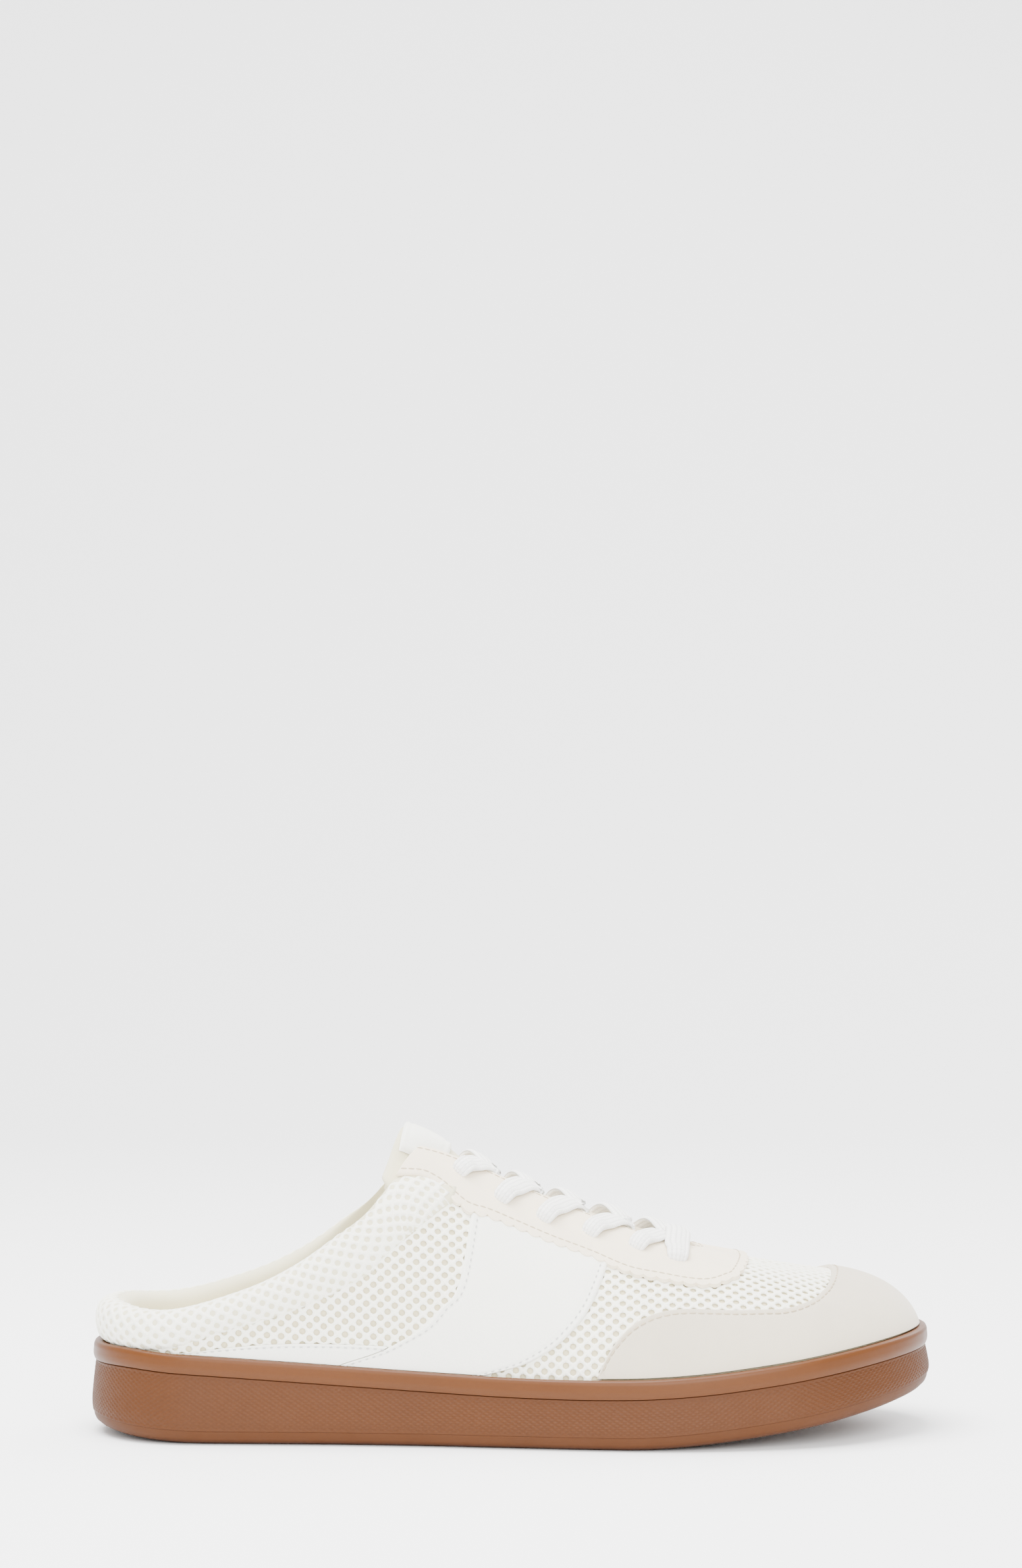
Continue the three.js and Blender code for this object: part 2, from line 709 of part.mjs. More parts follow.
function makeTongue() {
  return sheet(
    TONGUE_ROWS.map(({ at, half, crown: rise, sweep }) =>
      Array.from({ length: TONGUE_COLUMNS + 1 }, (_, k) => {
        const share = lerp(-1, 1, k / TONGUE_COLUMNS);
        const across = share * half * TONGUE_HALF_WIDTH;
        const x = at * LENGTH - sweep * share ** 2 * TONGUE_HALF_WIDTH;
        const lift = tongueLift(across, rise);
        return { high: crown(x, across, lift), low: crown(x, across, lift - TONGUE) };
      }),
    ),
  );
}

function makeTab() {
  const upward = [...TONGUE_ROWS].reverse();
  return sheet(
    Array.from({ length: TAB_ROWS + 1 }, (_, r) => {
      const at = lerp(TAB_FROM, TAB_TO, r / TAB_ROWS);
      return Array.from({ length: TAB_COLUMNS + 1 }, (_, k) => {
        const across = lerp(-1, 1, k / TAB_COLUMNS) * TAB_HALF_WIDTH;
        const lift = tongueLift(across, follow(upward, "crown", at)) + 2 * GAP;
        return { high: crown(at * LENGTH, across, lift + OVERLAY), low: crown(at * LENGTH, across, lift) };
      });
    }),
  );
}

// Laces: flat ribbons whose sections run along the shoe.
const OVER_EYESTAY = GAP + OVERLAY + 2 * GAP;

function ribbon(stops) {
  const half = LACE_WIDTH / 2;
  const section = ({ x, across, lift }) => [
    crown(x - half, across, lift),
    crown(x + half, across, lift),
    crown(x + half, across, lift + LACE),
    crown(x - half, across, lift + LACE),
  ];
  return loft(stops.map(section));
}

function laceStrand(from, to, side) {
  const start = -side * LACE_START * THROAT_HALF_WIDTH;
  const finish = side * (to.spread * LACING_HALF_WIDTH + LACE_PAST);
  return ribbon(
    Array.from({ length: LACE_STEPS + 1 }, (_, k) => {
      const share = k / LACE_STEPS;
      const across = lerp(start, finish, share);
      const risen = smoothstep(across * side, start * side, THROAT_HALF_WIDTH - 2 * GAP);
      const lift = lerp(TONGUE_LIFT + 2 * GAP, OVER_EYESTAY, risen);
      return { x: lerp(from.at, to.at, share) * LENGTH, across, lift };
    }),
  );
}

const makeCrossing = (from, to) => laceStrand(from, to, -1).add(laceStrand(from, to, 1));

function makeBar() {
  const reach = EYELETS[0].spread * LACING_HALF_WIDTH + LACE_PAST;
  return ribbon(
    Array.from({ length: LACE_STEPS + 1 }, (_, k) => {
      const across = lerp(-reach, reach, k / LACE_STEPS);
      const out = Math.abs(across) / THROAT_HALF_WIDTH;
      const bow = BAR_BOW * (1 - smoothstep(out, BAR_RAISED, BAR_LANDS));
      return { x: EYELETS[0].at * LENGTH, across, lift: OVER_EYESTAY + bow };
    }),
  );
}

// Finishes
const finish = (color, roughness) => new THREE.MeshStandardMaterial({ color, roughness, metalness: 0 });
const gumRubber = finish(0xac7b55, 0.55);
const gumBand = finish(0xb07d58, 0.4);
const whiteMesh = finish(0xf6f5ee, 0.9);
const liningCloth = finish(0xf3efdd, 0.95);
const suede = finish(0xede6dc, 0.95);
const toeSuede = finish(0xe6e1d8, 0.95);
const whiteLeather = finish(0xf3f3f1, 0.5);
const laceCotton = finish(0xf8f8f6, 0.85);

// Assembly, centred over its footprint
const shoe = new THREE.Group();
function addPiece(name, solid, material) {
  const { vertProperties, triVerts } = solid.getMesh();
  const geometry = new THREE.BufferGeometry();
  geometry.setAttribute("position", new THREE.BufferAttribute(vertProperties, 3));
  geometry.setIndex(new THREE.BufferAttribute(triVerts, 1));
  geometry.computeVertexNormals();
  const mesh = new THREE.Mesh(geometry, material);
  mesh.name = name;
  shoe.add(mesh);
}

addPiece("outsole", makeOutsole(), gumRubber);
addPiece("midsole", makeMidsole(), gumRubber);
addPiece("foxing_band", makeBand(), gumBand);
addPiece("insole", makeInsole(), liningCloth);
addPiece("upper", makeUpper(), whiteMesh);
addPiece("toe_cap", makeToeCap(), toeSuede);
addPiece("eyestay", makeEyestay(), suede);
addPiece("saddle_lateral", makeSaddle(-BEYOND, 0), whiteLeather);
addPiece("saddle_medial", makeSaddle(0, BEYOND), whiteLeather);
addPiece("rear_strip_lateral", makeRearStrip(-BEYOND, 0), whiteLeather);
addPiece("rear_strip_medial", makeRearStrip(0, BEYOND), whiteLeather);
addPiece("tongue", makeTongue(), liningCloth);
addPiece("tongue_tab", makeTab(), whiteLeather);
addPiece("lace_bar", makeBar(), laceCotton);
EYELETS.slice(1).forEach((eyelet, k) =>
  addPiece(`lace_cross_${k + 1}`, makeCrossing(EYELETS[k], eyelet), laceCotton),
);

const footprint = new THREE.Box2().setFromPoints(STATIONS.map((turn) => outline(turn, 0)));
const middle = footprint.getCenter(new THREE.Vector2());
shoe.position.set(-middle.x, -middle.y, 0);

export default shoe;
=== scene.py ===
"""Looks of a backless lace-up sneaker mule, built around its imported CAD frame.

Metres, +X towards the toe, -Y towards the lateral (outer) side, +Z up. Shapes are worked out in the
shoe's own coordinates, which start at the heel end, and are moved into the frame when a mesh is made.
"""

import math

import bpy
import numpy as np
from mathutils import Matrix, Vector
from mathutils.bvhtree import BVHTree


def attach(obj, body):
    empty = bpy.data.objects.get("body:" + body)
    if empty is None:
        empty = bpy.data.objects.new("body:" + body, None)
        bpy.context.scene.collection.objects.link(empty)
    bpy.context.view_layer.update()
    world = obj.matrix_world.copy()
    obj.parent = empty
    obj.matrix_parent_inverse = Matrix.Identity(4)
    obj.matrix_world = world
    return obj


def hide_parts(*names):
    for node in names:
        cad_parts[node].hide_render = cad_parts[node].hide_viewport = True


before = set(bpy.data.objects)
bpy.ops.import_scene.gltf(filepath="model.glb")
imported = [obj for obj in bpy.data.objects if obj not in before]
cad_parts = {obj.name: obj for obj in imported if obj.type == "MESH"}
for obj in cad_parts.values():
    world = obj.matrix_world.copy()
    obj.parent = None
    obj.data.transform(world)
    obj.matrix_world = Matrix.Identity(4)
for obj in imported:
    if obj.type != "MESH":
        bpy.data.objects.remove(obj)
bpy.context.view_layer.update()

bl_info = {
    "name": "Lace-up sneaker mule",
    "version": (1, 0, 0),
    "blender": (4, 5, 0),
    "location": "3D View > Sidebar > Mule",
    "description": "Builds the sole, perforated upper, panels, stitches and laces of a sneaker mule",
    "category": "Object",
}

MM = 0.001
BODY = "root"


class Table:
    """Columns of numbers along a shape, joined by smooth curves."""

    def __init__(self, names, rows):
        self.columns = dict(zip(names.split(), np.array(rows, float).T))

    def __getitem__(self, name):
        return self.columns[name]

    def follow(self, column, at, key="at"):
        """Values of a column at places along the key column."""
        keys, values = self[key], self[column]
        rate = np.diff(values) / np.diff(keys)
        before, after = np.diff(keys)[:-1], np.diff(keys)[1:]
        inner = (rate[:-1] * after + rate[1:] * before) / (before + after)
        slope = np.concatenate([rate[:1], inner, rate[-1:]])
        at = np.clip(at, keys[0], keys[-1])
        k = np.clip(np.searchsorted(keys, at, side="right") - 1, 0, len(keys) - 2)
        span = keys[k + 1] - keys[k]
        s = (at - keys[k]) / span
        between = values[k] + (values[k + 1] - values[k]) * s * s * (3 - 2 * s)
        return between + span * (slope[k] * (s**3 - 2 * s**2 + s) + slope[k + 1] * (s**3 - s**2))


# Sole outline: at in the sole's length, centre line and half width in the ball's width
OUTLINE = Table("at centre half", [
    (0.0, 0.0, 0.345), (0.1, 0.0, 0.354), (0.2, -0.008, 0.356), (0.3, -0.021, 0.356),
    (0.4, -0.037, 0.367), (0.5, -0.044, 0.401), (0.6, -0.031, 0.453), (0.68, -0.01, 0.49),
    (0.74, 0.008, 0.498), (0.8, 0.029, 0.492), (0.86, 0.052, 0.476), (0.92, 0.077, 0.455),
    (1.0, 0.104, 0.427),
])
HEEL_ROUND = 0.125
TOE_ROUND = 0.184
END_SQUARENESS = 2.1

# Top edge of the sole: height in the sole's height
SOLE_TOP = Table("at height", [
    (0.0, 1.0), (0.045, 1.007), (0.1, 0.973), (0.2, 0.913), (0.3, 0.853), (0.4, 0.8), (0.5, 0.76),
    (0.6, 0.75), (0.66, 0.763), (0.72, 0.8), (0.8, 0.883), (0.88, 0.987), (0.95, 1.077), (1.0, 1.13),
])
SPRING_FROM = 0.632
SPRING_BEND = 1.5
HEEL_LIFT_TO = 0.165

# Ridge of the upper: rise over the sole in the instep's rise, centre in the ball's width
RIDGE = Table("at rise centre square", [
    (0.165, 1.218, 0.0, 2.3), (0.257, 1.158, 0.0, 2.2), (0.331, 1.075, 0.005, 1.95),
    (0.377, 1.0, 0.01, 2.1), (0.408, 0.944, 0.012, 2.15), (0.439, 0.882, 0.016, 1.98),
    (0.502, 0.758, 0.021, 1.71), (0.565, 0.643, 0.031, 1.62), (0.627, 0.537, 0.042, 1.66),
    (0.69, 0.448, 0.057, 1.76), (0.753, 0.384, 0.078, 1.94), (0.816, 0.332, 0.094, 2.12),
    (0.853, 0.313, 0.104, 2.2),
])

# Side steps of the sole: inset in millimetres from the widest outline
OUTSOLE_SIDE = Table("at inset", [(0.0, 5.0), (0.2, 2.4), (0.5, 0.9), (1.0, 0.15)])
WALL_SIDE = Table("at inset", [(0.0, 0.15), (0.12, 0.0), (0.55, 0.5), (1.0, 1.4)])
BAND_SIDE = Table("at inset", [(0.0, 1.05), (0.12, 0.75), (0.6, 0.7), (0.85, 1.0), (0.96, 1.6), (1.0, 2.4)])

# Side views of seams and edges: rise over the sole's top in the instep's rise
COLLAR = Table("at rise", [
    (-0.05, 0.212), (0.0, 0.21), (0.025, 0.202), (0.057, 0.186), (0.087, 0.192), (0.121, 0.221),
    (0.162, 0.28), (0.217, 0.382), (0.26, 0.495), (0.297, 0.617), (0.332, 0.738), (0.347, 0.811),
    (0.364, 0.892),
])
PAD_SEAM = Table("at rise", [
    (0.0, 0.0), (0.08, 0.0), (0.105, 0.021), (0.134, 0.065), (0.165, 0.117), (0.202, 0.171),
    (0.229, 0.211), (0.271, 0.289), (0.309, 0.371), (0.333, 0.432), (0.354, 0.52), (0.376, 0.606),
    (0.397, 0.677), (0.425, 0.765), (0.45, 0.8),
])
EYESTAY_EDGE = Table("at rise", [
    (0.364, 0.892), (0.395, 0.884), (0.413, 0.848), (0.45, 0.743), (0.467, 0.726), (0.504, 0.671),
    (0.541, 0.614), (0.595, 0.538), (0.642, 0.465), (0.674, 0.436), (0.715, 0.4), (0.732, 0.391),
    (0.754, 0.398), (0.772, 0.424),
])
EYESTAY_FRONT = 0.779
TOE_CAP_EDGE = Table("at rise", [
    (0.594, 0.0), (0.602, 0.048), (0.609, 0.116), (0.619, 0.17), (0.63, 0.223), (0.646, 0.269),
    (0.662, 0.295), (0.688, 0.311), (0.723, 0.304), (0.762, 0.284), (0.8, 0.262), (0.83, 0.24),
])
# Plan view of the toe cap's inner edge round the vamp, across in the ball's width
VAMP = Table("at lateral medial", [
    (0.762, -0.326, 0.384), (0.793, -0.305, 0.388), (0.824, -0.265, 0.372), (0.846, -0.219, 0.351),
    (0.861, -0.165, 0.316), (0.872, -0.095, 0.262), (0.879, 0.0, 0.187), (0.881, 0.05, 0.137),
])
SADDLE_REAR = Table("at rise", [(0.3, 0.0), (0.365, 0.12), (0.415, 0.29), (0.444, 0.52), (0.452, 0.735)])
SADDLE_FRONT = Table("at rise", [(0.47, 0.0), (0.525, 0.08), (0.566, 0.2), (0.596, 0.36), (0.612, 0.51)])
REAR_STRIP_TOP = Table("at rise", [
    (0.12, 0.004), (0.17, 0.045), (0.22, 0.075), (0.28, 0.095), (0.358, 0.107),
])
REAR_STRIP_FRONT = 0.302

# Section of the padded collar: up from its seam to its top edge, lift in the pad's thickness
PAD_SECTION = [
    (0.0, -0.12), (0.07, 0.1), (0.28, 0.26), (0.55, 0.3), (0.8, 0.21), (0.93, 0.02), (0.99, -0.25),
    (0.99, -0.55), (0.93, -0.78), (0.8, -0.92), (0.55, -0.96), (0.3, -0.8), (0.1, -0.45), (0.0, -0.2),
]
PAD_RIM = Table("at rise", [
    (-0.05, 0.212), (0.0, 0.21), (0.025, 0.202), (0.057, 0.186), (0.087, 0.192), (0.121, 0.221),
    (0.162, 0.28), (0.217, 0.382), (0.26, 0.495), (0.297, 0.617), (0.332, 0.738), (0.347, 0.811),
    (0.364, 0.897), (0.39, 0.925), (0.41, 0.91), (0.44, 0.86), (0.47, 0.8),
])
PAD_THINS = 0.24
PAD_THIN_FROM = 0.34
PAD_END = 0.435
PAD_TOP_ROUND = 0.035

THROAT_TOP = Table("at rise", [(0.368, 0.942), (0.376, 0.979), (0.388, 1.005), (0.409, 1.024), (0.43, 1.03)])

# Tongue: half width and sweep in its half width, crown in its thickness, and the crown's spread in
# the throat's half width
TONGUE_ROWS = Table("at half crown sweep spread", [
    (0.366, 0.74, 2.05, 0.2, 1.4), (0.373, 0.84, 2.05, 0.2, 1.4), (0.388, 0.93, 2.05, 0.19, 1.28),
    (0.405, 0.98, 1.95, 0.16, 1.02), (0.425, 0.98, 1.65, 0.12, 0.8), (0.45, 0.96, 1.0, 0.05, 0.62),
    (0.475, 0.94, 0.5, 0.02, 0.56), (0.5, 0.92, 0.2, 0.0, 0.55), (0.56, 0.88, 0.0, 0.0, 0.55),
    (0.62, 0.84, 0.0, 0.0, 0.6), (0.68, 0.78, 0.0, 0.0, 0.7), (0.72, 0.72, 0.0, 0.0, 0.7),
    (0.745, 0.62, 0.0, 0.0, 0.7),
])
TAB_FROM = 0.368
TAB_TO = 0.424

# Throat opening: half width in the throat's half width
THROAT = Table("at half", [
    (0.33, 1.3), (0.37, 1.02), (0.395, 0.82), (0.42, 0.62), (0.46, 0.47), (0.52, 0.5), (0.6, 0.58),
    (0.68, 0.66),
])
# Where the collar's edge passes into the throat's, and where the throat ends in a round
THROAT_REAR = 0.366
THROAT_FRONT = 0.72

# Eyelets from the toe up: spread in the half width of the lacing
EYELETS = [(0.693, 1.18), (0.642, 1.05), (0.587, 0.96), (0.533, 0.92), (0.483, 0.82), (0.434, 0.63)]

# Step in turn or climb for a direction, step across the ridge for one, rounds of a search
NUDGE = 0.004
CROWN_NUDGE = 0.5 * MM
BISECTIONS = 30
OUTLINE_TURNS = 720


def lerp(a, b, share):
    """Value between a and b."""
    return a + (b - a) * share


def ease(value, low, high):
    """0 below low, 1 above high and a smooth step between."""
    s = np.clip((value - low) / (high - low), 0, 1)
    return s * s * (3 - 2 * s)


def unit(vectors):
    """Vectors of length one."""
    return vectors / np.maximum(np.linalg.norm(vectors, axis=-1, keepdims=True), 1e-12)


def bisect(is_below, low, high):
    """Roots of falling-to-rising tests between two arrays."""
    low, high = np.array(low, float), np.array(high, float)
    for _ in range(BISECTIONS):
        middle = (low + high) / 2
        below = is_below(middle)
        low = np.where(below, middle, low)
        high = np.where(below, high, middle)
    return (low + high) / 2


def spline(points, count, closed=False):
    """Evenly spaced points on a smooth curve through the given ones."""
    points = np.array(points, float)
    if closed:
        points = np.concatenate([points[-2:], points, points[:3]])
    at = run_along(points)
    columns = [Table("at value", np.stack([at, points[:, k]], 1)) for k in range(points.shape[1])]
    start, stop = (at[2], at[-3]) if closed else (0, at[-1])
    fine = np.linspace(start, stop, 8 * count)
    curve = np.stack([column.follow("value", fine) for column in columns], 1)
    return even(curve, count, closed)


def run_along(curve):
    """Distance along a polyline at each of its points."""
    return np.concatenate([[0], np.cumsum(np.linalg.norm(np.diff(curve, axis=0), axis=1))])


def even(curve, count, closed=False):
    """Points at equal steps along a polyline."""
    length = run_along(curve)
    wanted = np.linspace(0, length[-1], count, endpoint=not closed)
    return np.stack([np.interp(wanted, length, curve[:, k]) for k in range(curve.shape[1])], 1)


def crowded(count, pull=0.9):
    """Shares from 0 to 1 that crowd towards both ends."""
    even_shares = np.linspace(0, 1, count)
    return even_shares - pull * np.sin(2 * math.pi * even_shares) / (2 * math.pi)


def rounded(distance, radius):
    """Height of an edge rounded over a radius, from 0 at the edge to 1."""
    share = np.clip(distance / radius, 0, 1)
    return np.sqrt(np.clip(1 - (1 - share) ** 2, 0, 1))


def bell(distance, width):
    """Smooth bump or groove, 1 in its middle."""
    return np.exp(-((distance / width) ** 2))


def look_up(grids, i, j):
    """Values of grids at fractional rows and columns."""
    rows, columns = grids[0].shape[:2]
    i, j = np.clip(i, 0, rows - 1.001), np.clip(j, 0, columns - 1.001)
    row, column = i.astype(int), j.astype(int)
    down, right = (i - row)[..., None], (j - column)[..., None]
    return [
        lerp(
            lerp(grid[row, column], grid[row, column + 1], right),
            lerp(grid[row + 1, column], grid[row + 1, column + 1], right), down,
        )
        for grid in grids
    ]


def size(name, description, millimetres):
    """Property of a length, typed in millimetres."""
    return bpy.props.FloatProperty(
        name=name, description=description, default=millimetres * MM,
        subtype="DISTANCE", unit="LENGTH", precision=5,
    )


def colour(name, description, red, green, blue):
    """Property of a linear colour."""
    return bpy.props.FloatVectorProperty(
        name=name, description=description, default=(red, green, blue),
        subtype="COLOR", size=3, min=0, max=1,
    )


class MuleSizes(bpy.types.PropertyGroup):
    """Sizes of the shoe and of its finest details."""

    length: size("Sole length", "Heel end to toe end", 272)
    ball_width: size("Ball width", "Sole across the ball", 96)
    sole_height: size("Sole height", "Top of the sole's band above the floor, at the heel", 30)
    instep_rise: size("Instep rise", "Top of the throat above the sole", 66.5)
    toe_spring: size("Toe spring", "Underside of the toe end above the floor", 14)
    heel_lift: size("Heel lift", "Underside of the heel end above the floor", 3)
    outsole: size("Outsole", "Tread layer", 4.5)
    tread_depth: size("Tread depth", "Grooves of the tread", 1.6)
    tread_width: size("Tread width", "Width of a groove", 3)
    tread_pitch: size("Tread pitch", "From groove to groove", 9)
    band: size("Band", "Height of the smooth band round the sole", 6.3)
    upper_inset: size("Upper inset", "Upper's foot inside the sole's outline", 3.8)
    insole: size("Insole", "Thickness of the footbed", 4.5)
    wall: size("Wall", "Mesh, foam and lining together", 2)
    overlay: size("Overlay", "Suede over the mesh", 1.3)
    leather: size("Leather", "White leather over the mesh", 0.9)
    pad: size("Pad", "Padded collar", 8)
    tongue: size("Tongue", "Thickness of the tongue", 3)
    tongue_half_width: size("Tongue half width", "Half of the tongue's width", 24)
    throat_half_width: size("Throat half width", "Half of the opening under the laces", 9.5)
    lacing_half_width: size("Lacing half width", "From the ridge to the eyelets", 17)
    lace_width: size("Lace width", "Width of a lace", 8.2)
    lace: size("Lace", "Thickness of a lace", 1.6)
    tab_half_width: size("Tab half width", "Half of the tab's width", 10.5)
    gap: size("Gap", "Clearance between pieces", 0.3)
    hole_pitch: size("Hole pitch", "From hole to hole in a row of the mesh", 4.5)
    hole_rise: size("Hole rise", "From row to row of the mesh", 2.05)
    hole: size("Hole", "Diameter of a hole in the mesh", 2.15)
    mesh: size("Mesh", "Thickness of the mesh", 0.7)
    scallop_pitch: size("Scallop pitch", "Pinked edge of the eyestay", 4.2)
    scallop_depth: size("Scallop depth", "Depth of the pinked edge", 0.9)
    relief_pitch: size("Relief pitch", "Lozenges along the sole's wall", 2.3)
    relief_rise: size("Relief rise", "Lozenges up the sole's wall", 1.5)
    relief_depth: size("Relief depth", "Depth of the lozenges", 0.34)
    stitch_pitch: size("Stitch pitch", "From stitch to stitch", 2.7)
    thread: size("Thread", "Diameter of the thread", 0.5)


class MuleColours(bpy.types.PropertyGroup):
    """Colours of the shoe's finishes."""

    # Gum of the wall and tread: the band's rubber painted darker, as painted shade against the light that
    # the wall's relief catches
    gum: colour("Gum", "Rubber of the sole", 0.064, 0.0182, 0.0018)
    gum_band: colour("Gum band", "Smooth band of the sole", 0.08, 0.0238, 0.0032)
    mesh: colour("Mesh", "Yarn of the perforated mesh", 0.95, 0.94, 0.82)
    backing: colour("Backing", "Cloth under the mesh", 0.74, 0.66, 0.44)
    pad: colour("Pad", "Cloth under the collar's mesh", 0.7, 0.65, 0.45)
    lining: colour("Lining", "Cloth inside the shoe", 0.86, 0.8, 0.58)
    suede: colour("Eyestay suede", "Nap of the eyestay", 0.87, 0.76, 0.58)
    toe_suede: colour("Toe suede", "Nap of the toe cap", 0.585, 0.515, 0.395)
    leather: colour("Leather", "Smooth white panels", 0.89, 0.885, 0.8)
    lace: colour("Lace", "Cotton of the laces", 0.94, 0.93, 0.89)
    thread: colour("Thread", "Stitches in the suede", 0.5, 0.41, 0.28)
    leather_thread: colour("Leather thread", "Stitches in the leather", 0.5, 0.5, 0.48)
    floor: colour("Floor", "Studio floor", 0.93, 0.93, 0.93)


class Last:
    """Surface that the upper is made on: turn goes round the sole from the heel, lateral side first,
    and climb goes from 0 at the sole's ledge to 1 on the ridge."""

    def __init__(self, sizes):
        for name in MuleSizes.__annotations__:
            setattr(self, name, getattr(sizes, name))
        ring = self.outline(np.arange(OUTLINE_TURNS) / OUTLINE_TURNS, 0)
        self.shift = np.array([*-(ring.min(0) + ring.max(0)) / 2, 0.0])

    def sole_top(self, x):
        return self.sole_height * SOLE_TOP.follow("height", x / self.length)

    def sole_ledge(self, x):
        return self.sole_top(x) - self.band

    def underside(self, x):
        toe = np.clip((x / self.length - SPRING_FROM) / (1 - SPRING_FROM), 0, 1)
        heel = np.clip(1 - x / (HEEL_LIFT_TO * self.length), 0, 1)
        return self.toe_spring * toe**SPRING_BEND + self.heel_lift * heel**2

    def turn_at(self, share, side):
        """Turn of a share of the length on one side, -1 lateral and 1 medial."""
        turn = np.arccos(1 - 2 * np.clip(share, 0, 1)) / (2 * math.pi)
        return np.where(side < 0, turn, 1 - turn)

    def edge(self, turn):
        x = self.length / 2 * (1 - np.cos(2 * math.pi * turn))
        side = np.where(np.mod(turn, 1) < 0.5, -1, 1)
        heel = np.clip(1 - x / (HEEL_ROUND * self.length), 0, 1)
        toe = np.clip(1 - (self.length - x) / (TOE_ROUND * self.length), 0, 1)
        rounds = [(1 - end**END_SQUARENESS) ** (1 / END_SQUARENESS) for end in (heel, toe)]
        half = OUTLINE.follow("half", x / self.length) * rounds[0] * rounds[1]
        y = self.ball_width * (OUTLINE.follow("centre", x / self.length) + side * half)
        return np.stack([x, y], -1)

    def outline(self, turn, inset):
        along = unit(self.edge(turn + NUDGE) - self.edge(turn - NUDGE))
        inward = np.stack([-along[..., 1], along[..., 0]], -1)
        return self.edge(turn) + inward * np.asarray(inset)[..., None]

    def ridge(self, x):
        at = x / self.length
        y = self.ball_width * RIDGE.follow("centre", at)
        z = self.sole_height + self.instep_rise * RIDGE.follow("rise", at)
        return y, z, RIDGE.follow("square", at)

    def meridian(self, turn):
        foot = self.outline(turn, self.upper_inset)
        share = self.edge(turn)[..., 0] / self.length
        top_x = lerp(RIDGE["at"][0], RIDGE["at"][-1], share) * self.length
        top_y, top_z, square = self.ridge(top_x)
        base = self.sole_ledge(foot[..., 0]) + self.gap
        return foot[..., 0], foot[..., 1], base, top_x, top_y, top_z, square

    def point(self, turn, climb):
        foot_x, foot_y, base, top_x, top_y, top_z, square = self.meridian(turn)
        angle = np.clip(climb, 0, 1) * math.pi / 2
        out = np.maximum(np.cos(angle), 0) ** (2 / square)
        up = np.sin(angle) ** (2 / square)
        return np.stack([lerp(top_x, foot_x, out), lerp(top_y, foot_y, out), lerp(base, top_z, up)], -1)

    def normal(self, turn, climb):
        around = self.point(turn + NUDGE, climb) - self.point(turn - NUDGE, climb)
        upward = self.point(turn, climb + NUDGE) - self.point(turn, np.maximum(climb - NUDGE, 0))
        side = unit(np.cross(around, upward))
        top = np.ones_like(climb)
        along = unit(self.point(turn + NUDGE, top) - self.point(turn - NUDGE, top))
        upright = unit(np.array([0, 0, 1.0]) - along * along[..., 2:])
        return np.where((climb > 1 - NUDGE)[..., None], upright, side)

    def skin(self, turn, climb, lift):
        turn, climb, lift = np.broadcast_arrays(turn, climb, lift)
        return self.point(turn, climb) + self.normal(turn, climb) * lift[..., None]

    def climb_at_rise(self, turn, rise):
        _, _, base, _, _, top_z, square = self.meridian(turn)
        return 2 / math.pi * np.arcsin(np.clip(rise / (top_z - base), 0, 1) ** (square / 2))

    def climb_at_sole(self, turn, above=0.0):
        """Climb at which a meridian passes the sole's top edge."""
        return self.climb_at_rise(turn, self.band - self.gap + above)

    def seam_height(self, rows, x):
        return self.sole_top(x) + self.instep_rise * rows.follow("rise", x / self.length)

    def in_plan(self, x, across):
        """Turn and climb of places given by length and distance across from the ridge."""
        x, across = np.broadcast_arrays(np.asarray(x, float), np.asarray(across, float))

        def out_at(turn):
            _, foot_y, _, _, top_y, _, _ = self.meridian(turn)
            return np.clip(np.abs(across) / np.abs(foot_y - top_y), 0, 1)

        def is_behind(share):
            turn = self.turn_at(share, across)
            foot_x, _, _, top_x, _, _, _ = self.meridian(turn)
            return lerp(top_x, foot_x, out_at(turn)) < x

        turn = self.turn_at(bisect(is_behind, np.zeros_like(x), np.ones_like(x)), across)
        *_, square = self.meridian(turn)
        return turn, 2 / math.pi * np.arccos(out_at(turn) ** (square / 2))

    def in_side_view(self, x, z, side):
        """Turn and climb of places given by length and height on one side."""
        x, z = np.broadcast_arrays(np.asarray(x, float), np.asarray(z, float))

        def climb_at(turn):
            _, _, base, *_ = self.meridian(turn)
            return self.climb_at_rise(turn, z - base)

        def is_behind(share):
            turn = self.turn_at(share, side)
            return self.point(turn, climb_at(turn))[..., 0] < x

        turn = self.turn_at(bisect(is_behind, np.zeros_like(x), np.ones_like(x)), side)
        return turn, climb_at(turn)

    def crown_height(self, x, across):
        wide = self.throat_half_width
        distance = np.abs(across)
        eased = np.where(distance < wide, (distance**2 + wide**2) / (2 * wide), distance)
        turn, climb = self.in_plan(x, np.where(across < 0, -eased, eased))
        return self.point(turn, climb)[..., 2]

    def crown(self, x, across, lift):
        """Points over the throat, on the last with its ridge rounded off, and their normals."""
        x, across, lift = np.broadcast_arrays(*(np.asarray(v, float) for v in (x, across, lift)))
        step = CROWN_NUDGE
        rise_x = self.crown_height(x + step, across) - self.crown_height(x - step, across)
        rise_y = self.crown_height(x, across + step) - self.crown_height(x, across - step)
        normal = unit(np.stack([-rise_x, -rise_y, np.full_like(x, 2 * step)], -1))
        base = np.stack([x, self.ridge(x)[0] + across, self.crown_height(x, across)], -1)
        return base + normal * lift[..., None], normal


def quads(rows, columns, around=False):
    """Faces of a grid of points, its last column joined to its first where it goes around."""
    count = columns if around else columns - 1
    r, c = np.meshgrid(np.arange(rows - 1), np.arange(count), indexing="ij")
    n = (c + 1) % columns
    faces = [r * columns + c, r * columns + n, (r + 1) * columns + n, (r + 1) * columns + c]
    return np.stack(faces, -1).reshape(-1, 4)


